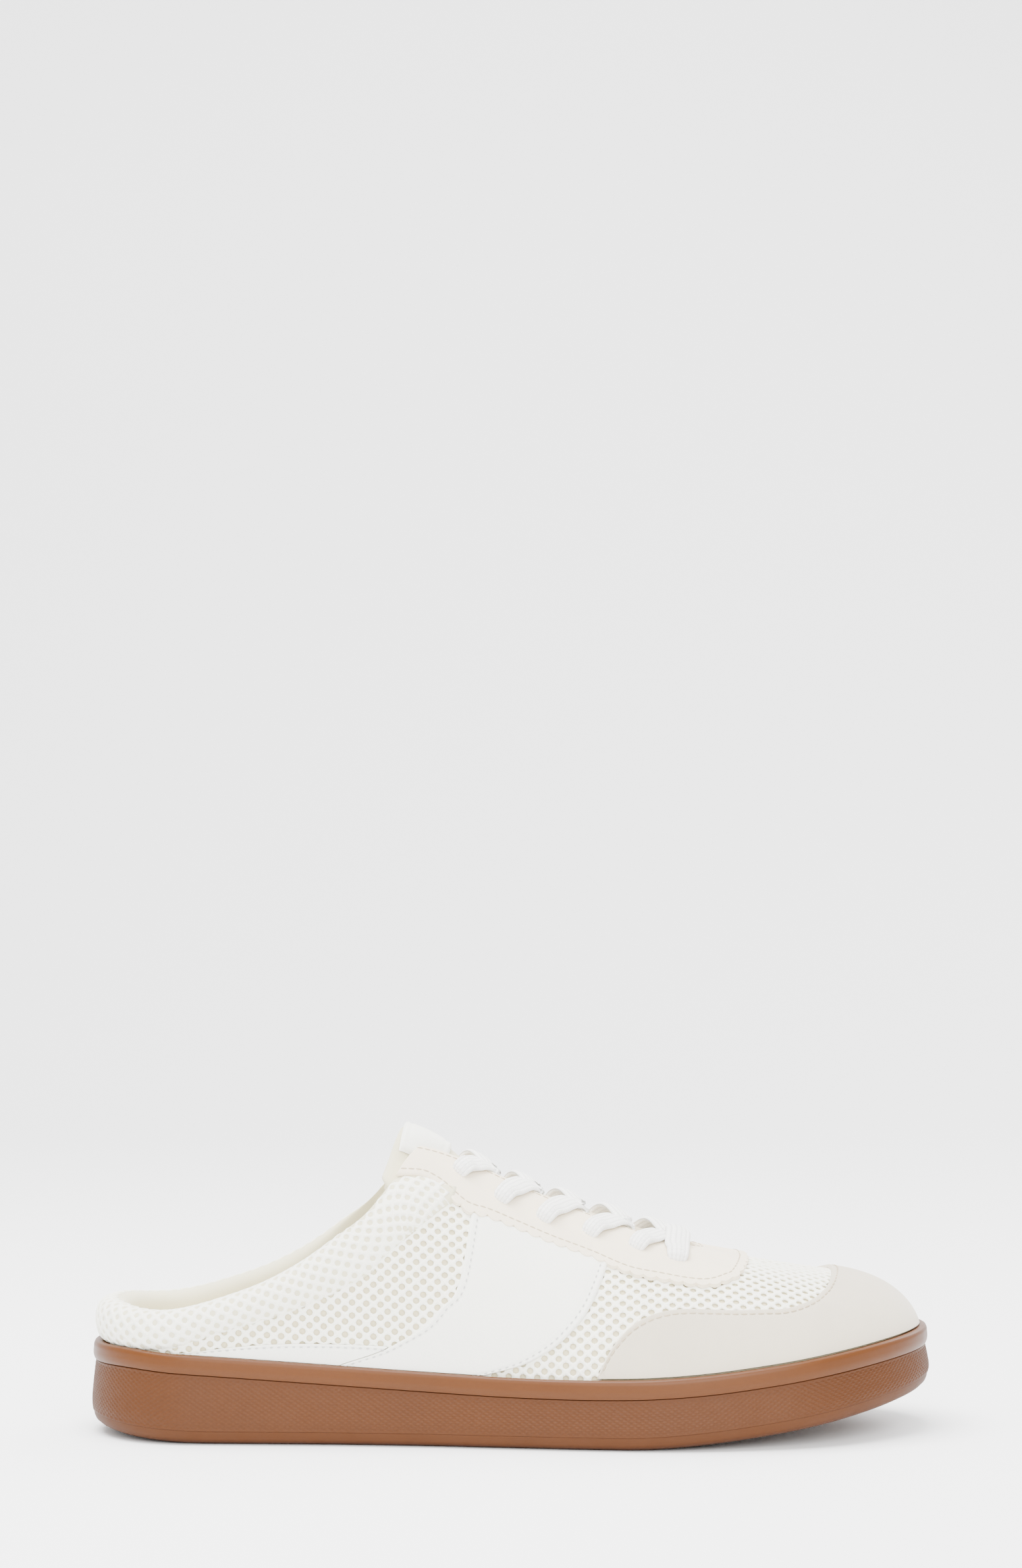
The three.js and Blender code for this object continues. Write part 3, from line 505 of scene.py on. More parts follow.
def sheet_solid(top, bottom):
    """Points and faces of a closed sheet between two grids."""
    rows, columns = top.shape[:2]
    size = rows * columns
    face = quads(rows, columns)
    index = np.arange(size).reshape(rows, columns)
    rim = np.concatenate([index[0, :-1], index[:-1, -1], index[-1, :0:-1], index[:0:-1, 0]])
    ahead = np.roll(rim, -1)
    side = np.stack([rim + size, ahead + size, ahead, rim], -1)
    points = np.concatenate([top.reshape(-1, 3), bottom.reshape(-1, 3)])
    return points, np.concatenate([face, face[:, ::-1] + size, side])


def turned_out(points, faces):
    """Faces of a closed shape turned outwards."""
    points = np.asarray(points)
    by_size = {}
    for face in faces:
        by_size.setdefault(len(face), []).append(face)
    volume = 0.0
    for size, group in by_size.items():
        corners = points[np.array(group)]
        for k in range(1, size - 1):
            volume += np.sum(corners[:, 0] * np.cross(corners[:, k], corners[:, k + 1]))
    return points, (faces if volume > 0 else [list(face)[::-1] for face in faces])


def link_object(name, data):
    """Object of a mesh, light or camera in the scene."""
    made = bpy.data.objects.new(name, data)
    bpy.context.scene.collection.objects.link(made)
    return made


def make_object(last, name, points, faces, materials, smooth_angle=None):
    """Object of a mesh given in the shoe's coordinates, moved into the frame."""
    mesh = bpy.data.meshes.new(name)
    mesh.from_pydata((np.asarray(points) + last.shift).tolist(), [], [list(map(int, f)) for f in faces])
    for material in materials:
        mesh.materials.append(shoe_material(material))
    mesh.shade_smooth()
    if smooth_angle is not None:
        mesh.set_sharp_from_angle(angle=math.radians(smooth_angle))
    mesh.validate()
    return link_object(name, mesh)


def finish_piece(piece, slot, *nodes):
    """The piece moves with the shoe and stands for its CAD nodes, which are hidden; the slot is not used."""
    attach(piece, BODY)
    if nodes:
        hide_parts(*nodes)
    return piece


def solid_piece(last, name, shape, materials, smooth_angle, slot, *nodes):
    """Finished piece of the points and faces of a closed shape."""
    piece = make_object(last, name, *turned_out(*shape), materials, smooth_angle)
    return finish_piece(piece, slot, *nodes)


# Finishes
# Places of the colour sockets in a Mix node
MIX_COLOURS = 6
MIX_RESULT = 2


class Finish:
    """A procedural material on Object coordinates."""

    def __init__(self, name, colour, roughness, specular=0.5, sheen=0.0, coat=0.0):
        self.material = bpy.data.materials.new(name)
        self.material.use_nodes = True
        self.tree = self.material.node_tree
        self.shader = self.tree.nodes["Principled BSDF"]
        self.colour = (*colour, 1.0)
        self.shader.inputs["Base Color"].default_value = self.colour
        self.shader.inputs["Roughness"].default_value = roughness
        self.shader.inputs["Specular IOR Level"].default_value = specular
        self.shader.inputs["Sheen Weight"].default_value = sheen
        self.shader.inputs["Sheen Roughness"].default_value = 0.6
        self.shader.inputs["Coat Weight"].default_value = coat
        self.shader.inputs["Coat Roughness"].default_value = 0.4
        self.place = self.node("ShaderNodeTexCoord").outputs["Object"]
        self.bumps = None

    def node(self, kind, **values):
        made = self.tree.nodes.new(kind)
        for name, value in values.items():
            setattr(made, name, value)
        return made

    def link(self, output, socket):
        self.tree.links.new(output, socket)

    def math(self, operation, first, second=None):
        made = self.node("ShaderNodeMath", operation=operation)
        for socket, value in zip(made.inputs, (first, second)):
            if value is None:
                continue
            if isinstance(value, (int, float)):
                socket.default_value = value
            else:
                self.link(value, socket)
        return made.outputs[0]

    def noise(self, size, detail, stretch=(1, 1, 1)):
        """Soft noise with features of a size in metres."""
        scaled = self.node("ShaderNodeMapping")
        scaled.inputs["Scale"].default_value = stretch
        self.link(self.place, scaled.inputs["Vector"])
        made = self.node("ShaderNodeTexNoise")
        self.link(scaled.outputs["Vector"], made.inputs["Vector"])
        made.inputs["Scale"].default_value = 1 / size
        made.inputs["Detail"].default_value = detail
        return made.outputs["Fac"]

    def cells(self, size):
        """Distance from the middles of scattered cells of a size in metres."""
        made = self.node("ShaderNodeTexVoronoi")
        self.link(self.place, made.inputs["Vector"])
        made.inputs["Scale"].default_value = 1 / size
        return made.outputs["Distance"]

    def ramp(self, value, low, high):
        made = self.node("ShaderNodeMapRange", interpolation_type="SMOOTHSTEP")
        self.link(value, made.inputs["Value"])
        made.inputs["From Min"].default_value = low
        made.inputs["From Max"].default_value = high
        return made.outputs["Result"]

    def tint(self, mask, colour, amount=1.0):
        """Blend towards a colour where the mask is high."""
        made = self.node("ShaderNodeMix", data_type="RGBA")
        self.link(self.math("MULTIPLY", mask, amount), made.inputs["Factor"])
        base = self.shader.inputs["Base Color"]
        under, over = made.inputs[MIX_COLOURS], made.inputs[MIX_COLOURS + 1]
        if base.is_linked:
            self.link(base.links[0].from_socket, under)
        else:
            under.default_value = self.colour
        over.default_value = (*colour, 1.0)
        self.link(made.outputs[MIX_RESULT], base)

    def vary_roughness(self, mask, low, high):
        made = self.node("ShaderNodeMapRange")
        self.link(mask, made.inputs["Value"])
        made.inputs["To Min"].default_value = low
        made.inputs["To Max"].default_value = high
        self.link(made.outputs["Result"], self.shader.inputs["Roughness"])

    def bump(self, height, distance, strength=1.0):
        """Relief of a height in metres."""
        made = self.node("ShaderNodeBump")
        made.inputs["Distance"].default_value = distance
        made.inputs["Strength"].default_value = strength
        self.link(height, made.inputs["Height"])
        if self.bumps:
            self.link(self.bumps, made.inputs["Normal"])
        self.bumps = made.outputs["Normal"]
        self.link(self.bumps, self.shader.inputs["Normal"])


def darker(colour, share):
    return tuple(channel * share for channel in colour)


def gum_rubber(name, colour, roughness):
    """Gum rubber: fine mould grain, faint cloudy variation, satin."""
    made = Finish(name, colour, roughness, specular=0.22)
    made.tint(made.ramp(made.noise(22 * MM, 2), 0.35, 0.7), darker(colour, 0.9), 0.5)
    made.tint(made.ramp(made.noise(0.9 * MM, 3), 0.45, 0.75), darker(colour, 0.86), 0.35)
    made.vary_roughness(made.noise(6 * MM, 3), roughness - 0.06, roughness + 0.08)
    made.bump(made.noise(0.35 * MM, 3), 0.04 * MM, 0.5)
    return made.material


def mesh_yarn(name, colour):
    """Knitted yarn of the mesh: fine fibres and a soft sheen."""
    made = Finish(name, colour, 0.85, specular=0.25, sheen=0.25)
    made.tint(made.ramp(made.noise(0.5 * MM, 3), 0.5, 0.8), darker(colour, 0.93), 0.5)
    made.bump(made.noise(0.28 * MM, 3, (1, 1, 1.8)), 0.08 * MM, 0.7)
    made.bump(made.noise(0.8 * MM, 2), 0.1 * MM, 0.5)
    return made.material


def soft_cloth(name, colour, grain=0.35):
    """Brushed lining cloth: fine weave under a soft, uneven nap."""
    made = Finish(name, colour, 0.92, specular=0.2, sheen=0.35)
    made.tint(made.ramp(made.noise(7 * MM, 3), 0.4, 0.75), darker(colour, 0.94), 0.6)
    made.tint(made.ramp(made.noise(grain * MM, 2), 0.5, 0.8), darker(colour, 0.9), 0.4)
    made.bump(made.noise(grain * MM, 3), 0.07 * MM, 0.7)
    made.bump(made.noise(3.5 * MM, 2), 0.25 * MM, 0.35)
    return made.material


def suede(name, colour):
    """Suede: short nap that lies in clouds, with tiny fibres and pores."""
    made = Finish(name, colour, 0.95, specular=0.15, sheen=0.3)
    made.tint(made.ramp(made.noise(16 * MM, 3), 0.38, 0.7), darker(colour, 0.93), 0.6)
    made.tint(made.ramp(made.noise(3 * MM, 4, (1, 1, 0.6)), 0.45, 0.75), darker(colour, 0.95), 0.5)
    made.tint(made.ramp(made.noise(0.22 * MM, 3), 0.5, 0.8), darker(colour, 0.88), 0.45)
    made.bump(made.noise(0.2 * MM, 4), 0.07 * MM, 0.8)
    made.bump(made.noise(1.6 * MM, 3), 0.09 * MM, 0.45)
    return made.material


def smooth_leather(name, colour):
    """Coated leather: small round pebbles with fine pores between them, darkened with painted shade, satin.
    """
    made = Finish(name, colour, 0.46, specular=0.4, coat=0.06)
    pebbles = made.ramp(made.cells(0.75 * MM), 0.0, 0.75)
    made.tint(made.ramp(made.noise(12 * MM, 2), 0.4, 0.7), darker(colour, 0.97), 0.5)
    # Painted shade: the hollows between the pebbles are painted darker
    made.tint(made.ramp(pebbles, 0.7, 1.0), darker(colour, 0.95), 0.5)
    made.vary_roughness(made.noise(4 * MM, 3), 0.4, 0.55)
    made.bump(pebbles, -0.035 * MM, 0.6)
    made.bump(made.noise(5 * MM, 2), 0.12 * MM, 0.25)
    return made.material


# Picks of the weave along a lace for each rib's width, and how far they lag beside a rib
PICKS_PER_RIB = 1.6
PICK_SLANT = 2.4


def woven_lace(name, colour, rib):
    """Flat woven cotton: ribs along the lace, crossed by slanting picks, with painted shade in the grooves
    between them.
    """
    made = Finish(name, colour, 0.88, specular=0.2, sheen=0.2)
    uv = made.node("ShaderNodeSeparateXYZ")
    made.link(made.node("ShaderNodeTexCoord").outputs["UV"], uv.inputs["Vector"])
    turn = 2 * math.pi / rib
    slant = made.math("ABSOLUTE", made.math("SINE", made.math("MULTIPLY", uv.outputs["X"], turn / 2)))
    steep = made.math("MULTIPLY", slant, PICK_SLANT)
    phase = made.math("ADD", made.math("MULTIPLY", uv.outputs["Y"], turn * PICKS_PER_RIB), steep)
    picks = made.math("ADD", made.math("MULTIPLY", made.math("SINE", phase), 0.5), 0.5)
    # Painted shade in the hollows between the picks
    made.tint(made.ramp(picks, 0.4, 0.0), darker(colour, 0.84), 0.7)
    # Painted shade in the grooves between the ribs
    made.tint(made.ramp(slant, 0.7, 1.0), darker(colour, 0.7), 0.7)
    made.bump(picks, 0.14 * MM, 0.7)
    made.bump(made.noise(0.2 * MM, 2), 0.05 * MM, 0.6)
    return made.material


def thread(name, colour):
    """Twisted sewing thread."""
    made = Finish(name, colour, 0.7, specular=0.3, sheen=0.1)
    made.tint(made.ramp(made.noise(0.3 * MM, 2), 0.4, 0.8), darker(colour, 0.85), 0.5)
    made.bump(made.noise(0.18 * MM, 2), 0.05 * MM, 0.7)
    return made.material


def shoe_material(name):
    """One of the shoe's materials, made on first use."""
    if name in bpy.data.materials:
        return bpy.data.materials[name]
    colours = bpy.context.scene.mule_colours
    lace_rib = bpy.context.scene.mule_sizes.lace_width / RIBS
    makers = {
        # The wall's gum is painted darker than the band's: painted shade
        "gum_wall_rubber": lambda: gum_rubber(name, colours.gum, 0.52),
        "gum_tread_rubber": lambda: gum_rubber(name, colours.gum, 0.6),
        "gum_band_rubber": lambda: gum_rubber(name, colours.gum_band, 0.4),
        "mesh_yarn": lambda: mesh_yarn(name, colours.mesh),
        "mesh_backing": lambda: soft_cloth(name, colours.backing),
        "pad_cloth": lambda: soft_cloth(name, colours.pad),
        "lining_cloth_soft": lambda: soft_cloth(name, colours.lining, 0.5),
        "eyestay_suede": lambda: suede(name, colours.suede),
        "toe_cap_suede": lambda: suede(name, colours.toe_suede),
        "panel_leather": lambda: smooth_leather(name, colours.leather),
        "lace_weave": lambda: woven_lace(name, colours.lace, lace_rib),
        "suede_thread": lambda: thread(name, colours.thread),
        "grey_thread": lambda: thread(name, colours.leather_thread),
    }
    return makers[name]()


# Geometry Nodes
SAME_POINT = 0.001 * MM
STITCH_SIDES = 8
STITCH_RINGS = 6


def node_tree(name, inputs):
    """Empty Geometry Nodes tree with named inputs."""
    tree = bpy.data.node_groups.new(name, "GeometryNodeTree")
    tree.interface.new_socket("Geometry", in_out="OUTPUT", socket_type="NodeSocketGeometry")
    tree.interface.new_socket("Geometry", in_out="INPUT", socket_type="NodeSocketGeometry")
    for label, kind in inputs:
        tree.interface.new_socket(label, in_out="INPUT", socket_type=kind)
    return tree


def apply_tree(piece, tree, values):
    """Runs a tree on a piece with its inputs set, and keeps the plain mesh that it makes."""
    modifier = piece.modifiers.new(tree.name, "NODES")
    modifier.node_group = tree
    for item in tree.interface.items_tree:
        if item.in_out == "INPUT" and item.name in values:
            modifier[item.identifier] = values[item.name]
    bpy.context.view_layer.update()
    graph = bpy.context.evaluated_depsgraph_get()
    mesh = bpy.data.meshes.new_from_object(piece.evaluated_get(graph))
    piece.modifiers.clear()
    piece.data = mesh
    return piece


class Tree:
    """One Geometry Nodes tree, its nodes added and joined by calls."""

    def __init__(self, name, inputs):
        self.tree = node_tree(name, inputs)
        self.inputs = self.add("NodeGroupInput").outputs
        self.output = self.add("NodeGroupOutput").inputs[0]

    def add(self, kind, sockets=(), **values):
        made = self.tree.nodes.new(kind)
        for name, value in values.items():
            setattr(made, name, value)
        for name, value in dict(sockets).items():
            socket = made.inputs[name]
            if isinstance(value, bpy.types.NodeSocket):
                self.tree.links.new(value, socket)
            else:
                socket.default_value = value
        return made

    def vector(self, operation, sockets):
        return self.add("ShaderNodeVectorMath", sockets, operation=operation).outputs[0]

    def named_vector(self, name):
        made = self.add("GeometryNodeInputNamedAttribute", {"Name": name}, data_type="FLOAT_VECTOR")
        return made.outputs[0]

    def end(self, geometry, material):
        """Closes the tree with realized instances and one material."""
        real = self.add("GeometryNodeRealizeInstances", {"Geometry": geometry})
        done = self.add("GeometryNodeSetMaterial", {"Geometry": real.outputs[0], "Material": material})
        self.tree.links.new(done.outputs[0], self.output)
        return self.tree


def perforation_tree():
    """Turns each face of a sheet into a cell with a round hole, and gives the sheet its thickness."""
    if "Perforated cloth" in bpy.data.node_groups:
        return bpy.data.node_groups["Perforated cloth"]
    made = Tree("Perforated cloth", [
        ("Hole Radius", "NodeSocketFloat"), ("Thickness", "NodeSocketFloat"),
        ("Material", "NodeSocketMaterial"),
    ])
    place = made.add("GeometryNodeInputPosition").outputs[0]
    marked = made.add(
        "GeometryNodeStoreNamedAttribute",
        {"Geometry": made.inputs["Geometry"], "Name": "centre", "Value": place},
        data_type="FLOAT_VECTOR", domain="FACE",
    )
    cut = made.add(
        "GeometryNodeExtrudeMesh", {"Mesh": marked.outputs[0], "Offset Scale": 0.0, "Individual": True},
    )
    centre = made.named_vector("centre")
    away = made.vector("SUBTRACT", {0: place, 1: centre})
    spoke = made.vector("NORMALIZE", {0: away})
    reach = made.vector("SCALE", {0: spoke, "Scale": made.inputs["Hole Radius"]})
    rim = made.vector("ADD", {0: centre, 1: reach})
    holes = made.add(
        "GeometryNodeSetPosition",
        {"Geometry": cut.outputs["Mesh"], "Selection": cut.outputs["Top"], "Position": rim},
    )
    net = made.add(
        "GeometryNodeDeleteGeometry", {"Geometry": holes.outputs[0], "Selection": cut.outputs["Top"]},
        domain="FACE",
    ).outputs[0]
    raised = made.add(
        "GeometryNodeExtrudeMesh",
        {"Mesh": net, "Offset Scale": made.inputs["Thickness"], "Individual": False},
    )
    under = made.add("GeometryNodeFlipFaces", {"Mesh": net})
    both = made.add("GeometryNodeJoinGeometry")
    made.tree.links.new(raised.outputs["Mesh"], both.inputs[0])
    made.tree.links.new(under.outputs[0], both.inputs[0])
    joined = made.add(
        "GeometryNodeMergeByDistance", {"Geometry": both.outputs[0], "Distance": SAME_POINT},
    )
    smooth = made.add("GeometryNodeSetShadeSmooth", {"Geometry": joined.outputs[0]})
    return made.end(smooth.outputs[0], made.inputs["Material"])


def stitch_tree():
    """Lays one stitch after another along each line."""
    if "Stitches" in bpy.data.node_groups:
        return bpy.data.node_groups["Stitches"]
    made = Tree("Stitches", [
        ("Pitch", "NodeSocketFloat"), ("Stitch Size", "NodeSocketVector"),
        ("Material", "NodeSocketMaterial"),
    ])
    line = made.add("GeometryNodeMeshToCurve", {"Mesh": made.inputs["Geometry"]})
    spaced = made.add(
        "GeometryNodeResampleCurve", {"Curve": line.outputs[0], "Length": made.inputs["Pitch"]},
        mode="LENGTH",
    )
    bead = made.add(
        "GeometryNodeMeshUVSphere", {"Segments": STITCH_SIDES, "Rings": STITCH_RINGS, "Radius": 0.5},
    )
    stitch = made.add(
        "GeometryNodeTransform", {"Geometry": bead.outputs[0], "Scale": made.inputs["Stitch Size"]},
    )
    tangent = made.add("GeometryNodeInputTangent").outputs[0]
    ahead = made.add("FunctionNodeAlignRotationToVector", {"Vector": tangent}, axis="X")
    turned = made.add(
        "FunctionNodeAlignRotationToVector",
        {"Rotation": ahead.outputs[0], "Vector": made.named_vector("up")}, axis="Z", pivot_axis="X",
    )
    laid = made.add(
        "GeometryNodeInstanceOnPoints",
        {"Points": spaced.outputs[0], "Instance": stitch.outputs[0], "Rotation": turned.outputs[0]},
    )
    real = made.add("GeometryNodeRealizeInstances", {"Geometry": laid.outputs[0]})
    smooth = made.add("GeometryNodeSetShadeSmooth", {"Geometry": real.outputs[0]})
    return made.end(smooth.outputs[0], made.inputs["Material"])


def stitch_lines(last, name, lines, material, slot, spacing, length, width):
    """Stitches along lines of points and normals, sized in the stitch pitch and the thread's diameter."""
    points, normals, edges, count = [], [], [], 0
    for line, up in lines:
        points.append(line)
        normals.append(up)
        edges += [(count + k, count + k + 1) for k in range(len(line) - 1)]
        count += len(line)
    mesh = bpy.data.meshes.new(name)
    mesh.from_pydata((np.concatenate(points) + last.shift).tolist(), edges, [])
    up_field = mesh.attributes.new("up", "FLOAT_VECTOR", "POINT")
    up_field.data.foreach_set("vector", np.concatenate(normals).ravel())
    piece = link_object(name, mesh)
    apply_tree(piece, stitch_tree(), {
        "Pitch": spacing * last.stitch_pitch,
        "Stitch Size": (length * last.stitch_pitch, width * last.thread, width * last.thread),
        "Material": shoe_material(material),
    })
    return finish_piece(piece, slot)


# Panels that lie on the upper
SEAM_DEPTH = 0.35 * MM
SEAM_WIDTH = 0.55 * MM
PANEL_ROUND = 0.8 * MM
EYESTAY_ROUND = 0.35 * MM
# Seams inside the panels' borders
TOE_SEAM = 2 * MM
EYESTAY_SEAM = 2.3 * MM
EYESTAY_INNER_SEAM = 1.8 * MM
SADDLE_SEAM = 2.1 * MM
STRIP_SEAM = 1.8 * MM
# How deep the threads sink into the panels
TOE_THREAD_SUNK = 0.1 * MM
LEATHER_THREAD_SUNK = 0.05 * MM
# Narrowest panel that a seam still runs in, in the seam's distance from the border
SEAM_ROOM = 1.6


class Panel:
    """Patch of the last given by a grid of turn and climb, with distances from its four borders."""

    def __init__(self, last, grid):
        self.base = last.point(grid[..., 0], grid[..., 1])
        self.up = last.normal(grid[..., 0], grid[..., 1])
        rows, columns = grid.shape[:2]
        down = np.linalg.norm(np.diff(self.base, axis=0), axis=-1)
        side = np.linalg.norm(np.diff(self.base, axis=1), axis=-1)
        lower = np.concatenate([np.zeros((1, columns)), np.cumsum(down, 0)])
        start = np.concatenate([np.zeros((rows, 1)), np.cumsum(side, 1)], 1)
        upper, end = lower[-1:] - lower, start[:, -1:] - start
        self.away = {"lower": lower, "upper": upper, "start": start, "end": end}

    def lift(self, amount):
        return self.base + self.up * np.asarray(amount)[..., None]

    def solid(self, bottom, top, borders, edge_round, seam=None):
        """Closed sheet whose named borders are rounded over, pulled down along its seam."""
        distance = np.min([self.away[border] for border in borders], axis=0)
        height = lerp(bottom, top, rounded(distance, edge_round))
        if seam is not None:
            height = height - SEAM_DEPTH * bell(distance - seam, SEAM_WIDTH)
        return sheet_solid(self.lift(height), self.lift(np.full(distance.shape, bottom)))

    def line(self, border, distance, lift, ends=(0, 0)):
        """Points and normals that run along a border at a distance inside it."""
        away, points, up = self.away[border], self.lift(np.full(self.base.shape[:2], lift)), self.up
        if border in ("start", "end"):
            away, points, up = away.T, points.transpose(1, 0, 2), up.transpose(1, 0, 2)
        made = []
        for k in range(ends[0], away.shape[1] - ends[1]):
            order = np.argsort(away[:, k])
            if away[order[-1], k] < SEAM_ROOM * distance:
                continue
            both = np.concatenate([points[order, k], up[order, k]], 1)
            made.append([np.interp(distance, away[order, k], both[:, axis]) for axis in range(6)])
        made = np.array(made)
        return made[:, :3], unit(made[:, 3:])


def border_shares(count, width, fine):
    """Shares across a patch of some width, crowded over a fine margin at both borders."""
    near = np.array([0, 0.04, 0.15, 0.35, 0.65, 1.0]) * fine / width
    middle = np.linspace(near[-1], 1 - near[-1], count)
    return np.concatenate([near[:-1], middle, (1 - near[:-1])[::-1]])


def side_patch(last, side, rear, front, bottom, top, across, rows):
    """Grid of turn and climb over a patch bounded by four curves in side view."""
    s, t = np.meshgrid(across, rows)

    def at(curve, share):
        length = np.linspace(0, 1, len(curve))
        return np.stack([np.interp(share, length, curve[:, k]) for k in range(2)], -1)

    along, up = s[..., None], t[..., None]
    ruled = lerp(at(rear, t), at(front, t), along) + lerp(at(bottom, s), at(top, s), up)
    corners = lerp(lerp(rear[0], front[0], along), lerp(rear[-1], front[-1], along), up)
    view = ruled - corners
    return np.stack(last.in_side_view(view[..., 0], view[..., 1], side), -1)


def view_line(last, rows, low, high, count=60):
    """Seam in side view as evenly spaced lengths and heights."""
    x = np.linspace(low, high, 200) * last.length
    return even(np.stack([x, last.seam_height(rows, x)], 1), count)


def sole_line(last, low, high):
    """Line in side view just over the sole's top edge."""
    x = np.linspace(low, high, 60) * last.length
    return np.stack([x, last.sole_top(x) + 0.2 * last.gap], 1)


def throat_half(last, x):
    """Half width of the throat's opening, negative in front of it."""
    front, round_end = THROAT_FRONT * last.length, last.throat_half_width
    straight = THROAT.follow("half", x / last.length) * last.throat_half_width
    along = np.clip((x - front + round_end) / round_end, 0, 1)
    arc = straight * np.sqrt(np.maximum(1 - along**2, 0))
    return np.where(x < front, arc, -1.0)


def below_opening(last, point):
    """True where a point of the last lies outside the collar and the throat."""
    x, y, z = point[..., 0], point[..., 1], point[..., 2]
    collar = last.seam_height(COLLAR, x) - PAD_TOP_ROUND * last.instep_rise
    rim = np.where(x < THROAT_REAR * last.length, collar, last.seam_height(THROAT_TOP, x))
    return (z < rim) & (np.abs(y - last.ridge(x)[0]) > throat_half(last, x))


def looped(rings):
    """Points and faces of a ring of closed sections."""
    rows, columns = rings.shape[:2]
    r, c = np.meshgrid(np.arange(rows), np.arange(columns), indexing="ij")
    n, m = (r + 1) % rows, (c + 1) % columns
    faces = np.stack([r * columns + c, r * columns + m, n * columns + m, n * columns + c], -1)
    return rings.reshape(-1, 3), faces.reshape(-1, 4)


def capped(rings):
    """Points and faces of stacked closed rings, closed by a fan at either end."""
    rows, columns = rings.shape[:2]
    points = np.concatenate([rings.reshape(-1, 3), rings[:1].mean(1), rings[-1:].mean(1)])
    faces = [list(face) for face in quads(rows, columns, around=True)]
    low, high, last_row = rows * columns, rows * columns + 1, (rows - 1) * columns
    for k in range(columns):
        n = (k + 1) % columns
        faces.append([n, k, low])
        faces.append([last_row + k, last_row + n, high])
    return points, faces


# Pieces of the sole
GROOVE_ZONES = [(0.09, 0.36), (0.55, 0.91)]
TREAD_RIM = 5 * MM
# Fine ribs between the grooves of the tread
TREAD_RIB_HEIGHT = 0.12 * MM
TREAD_RIB_PITCH = 1.8 * MM
# Height of the lozenges' middle level in their depth
RELIEF_LEVEL = 0.6
FOOTBED_RIM = 0.9 * MM
FOOTBED_SUNK = 0.5 * MM


def even_turns(last, count, inset=0.0):
    """Turns at equal steps round the outline, symmetric about the length."""
    turns = np.linspace(0, 0.5, 4001)
    ring = last.outline(turns, inset)
    length = run_along(ring)
    half = np.interp(np.linspace(0, length[-1], count // 2 + 1), length, turns)
    return np.concatenate([half, 1 - half[-2:0:-1]])


def sole_rings(last, turns, insets, heights):
    """Rings of the sole at insets and heights, a height being a function of the length."""
    rings = []
    for inset, height in zip(insets, heights):
        ring = last.outline(turns, inset)
        rings.append(np.concatenate([ring, height(ring[:, 0])[:, None]], 1))
    return np.array(rings)


def make_tread(last):
    """Tread layer: its side, its grooved underside and its flat top."""
    zones = np.array(GROOVE_ZONES) * last.length
    grooves = np.concatenate([np.arange(low, high, last.tread_pitch) for low, high in zones])
    steps = np.array([-0.5, -0.42, 0.42, 0.5]) * last.tread_width
    plain = np.linspace(0.004, 0.996, 120) * last.length
    lengths = np.sort(np.concatenate([(grooves[:, None] + steps).ravel(), plain]))
    lengths = lengths[np.concatenate([[True], np.diff(lengths) > 0.1 * MM])]
    half = last.turn_at(lengths / last.length, -1)
    turns = np.concatenate([[0.0], half, [0.5], 1 - half[::-1]])
    up = np.array([0, 0.03, 0.1, 0.2, 0.35, 0.5, 0.75, 1.0])
    insets = OUTSOLE_SIDE.follow("inset", up) * MM
    heights = [lambda x, u=u: last.underside(x) + u * last.outsole for u in up]
    rings = sole_rings(last, turns, insets, heights)

    count = len(turns)
    left = np.arange(1, count // 2)
    right = count - left
    across = np.linspace(0, 1, 26)[1:-1]
    bottom = lerp(rings[0][left][:, None], rings[0][right][:, None], across[:, None])
    width = np.linalg.norm(rings[0][left] - rings[0][right], axis=1)[:, None]
    inside = ease(width * np.minimum(across, 1 - across), TREAD_RIM, TREAD_RIM + 0.6 * MM)
    x = bottom[..., 0]
    nearest = np.min(np.abs(x[..., None] - grooves), -1)
    deep = np.clip((0.5 * last.tread_width - nearest) / (0.1 * last.tread_width), 0, 1)
    ribs = TREAD_RIB_HEIGHT * np.sin(2 * math.pi * x / TREAD_RIB_PITCH) ** 2 * (1 - deep)
    bottom[..., 2] = last.underside(x) + inside * (deep * last.tread_depth + ribs)

    points = np.concatenate([rings.reshape(-1, 3), bottom.reshape(-1, 3)])
    inner = np.arange(bottom[..., 0].size).reshape(bottom.shape[:2]) + rings[..., 0].size
    grid = np.concatenate([left[:, None], inner, right[:, None]], 1)
    tip = count // 2
    faces = quads(len(up), count, around=True).tolist()
    for row, ahead in zip(grid[:-1], grid[1:]):
        faces += np.stack([row[:-1], ahead[:-1], ahead[1:], row[1:]], 1).tolist()
    faces += [[0, a, b] for a, b in zip(grid[0], grid[0, 1:])]
    faces += [[tip, b, a] for a, b in zip(grid[-1], grid[-1, 1:])]
    top = (len(up) - 1) * count + np.arange(count)
    faces += [[top[k], top[k + 1], top[-k - 1], top[-k]] for k in range(1, tip - 1)]
    faces += [[top[0], top[1], top[-1]], [top[tip], top[tip + 1], top[tip - 1]]]
    return points, faces


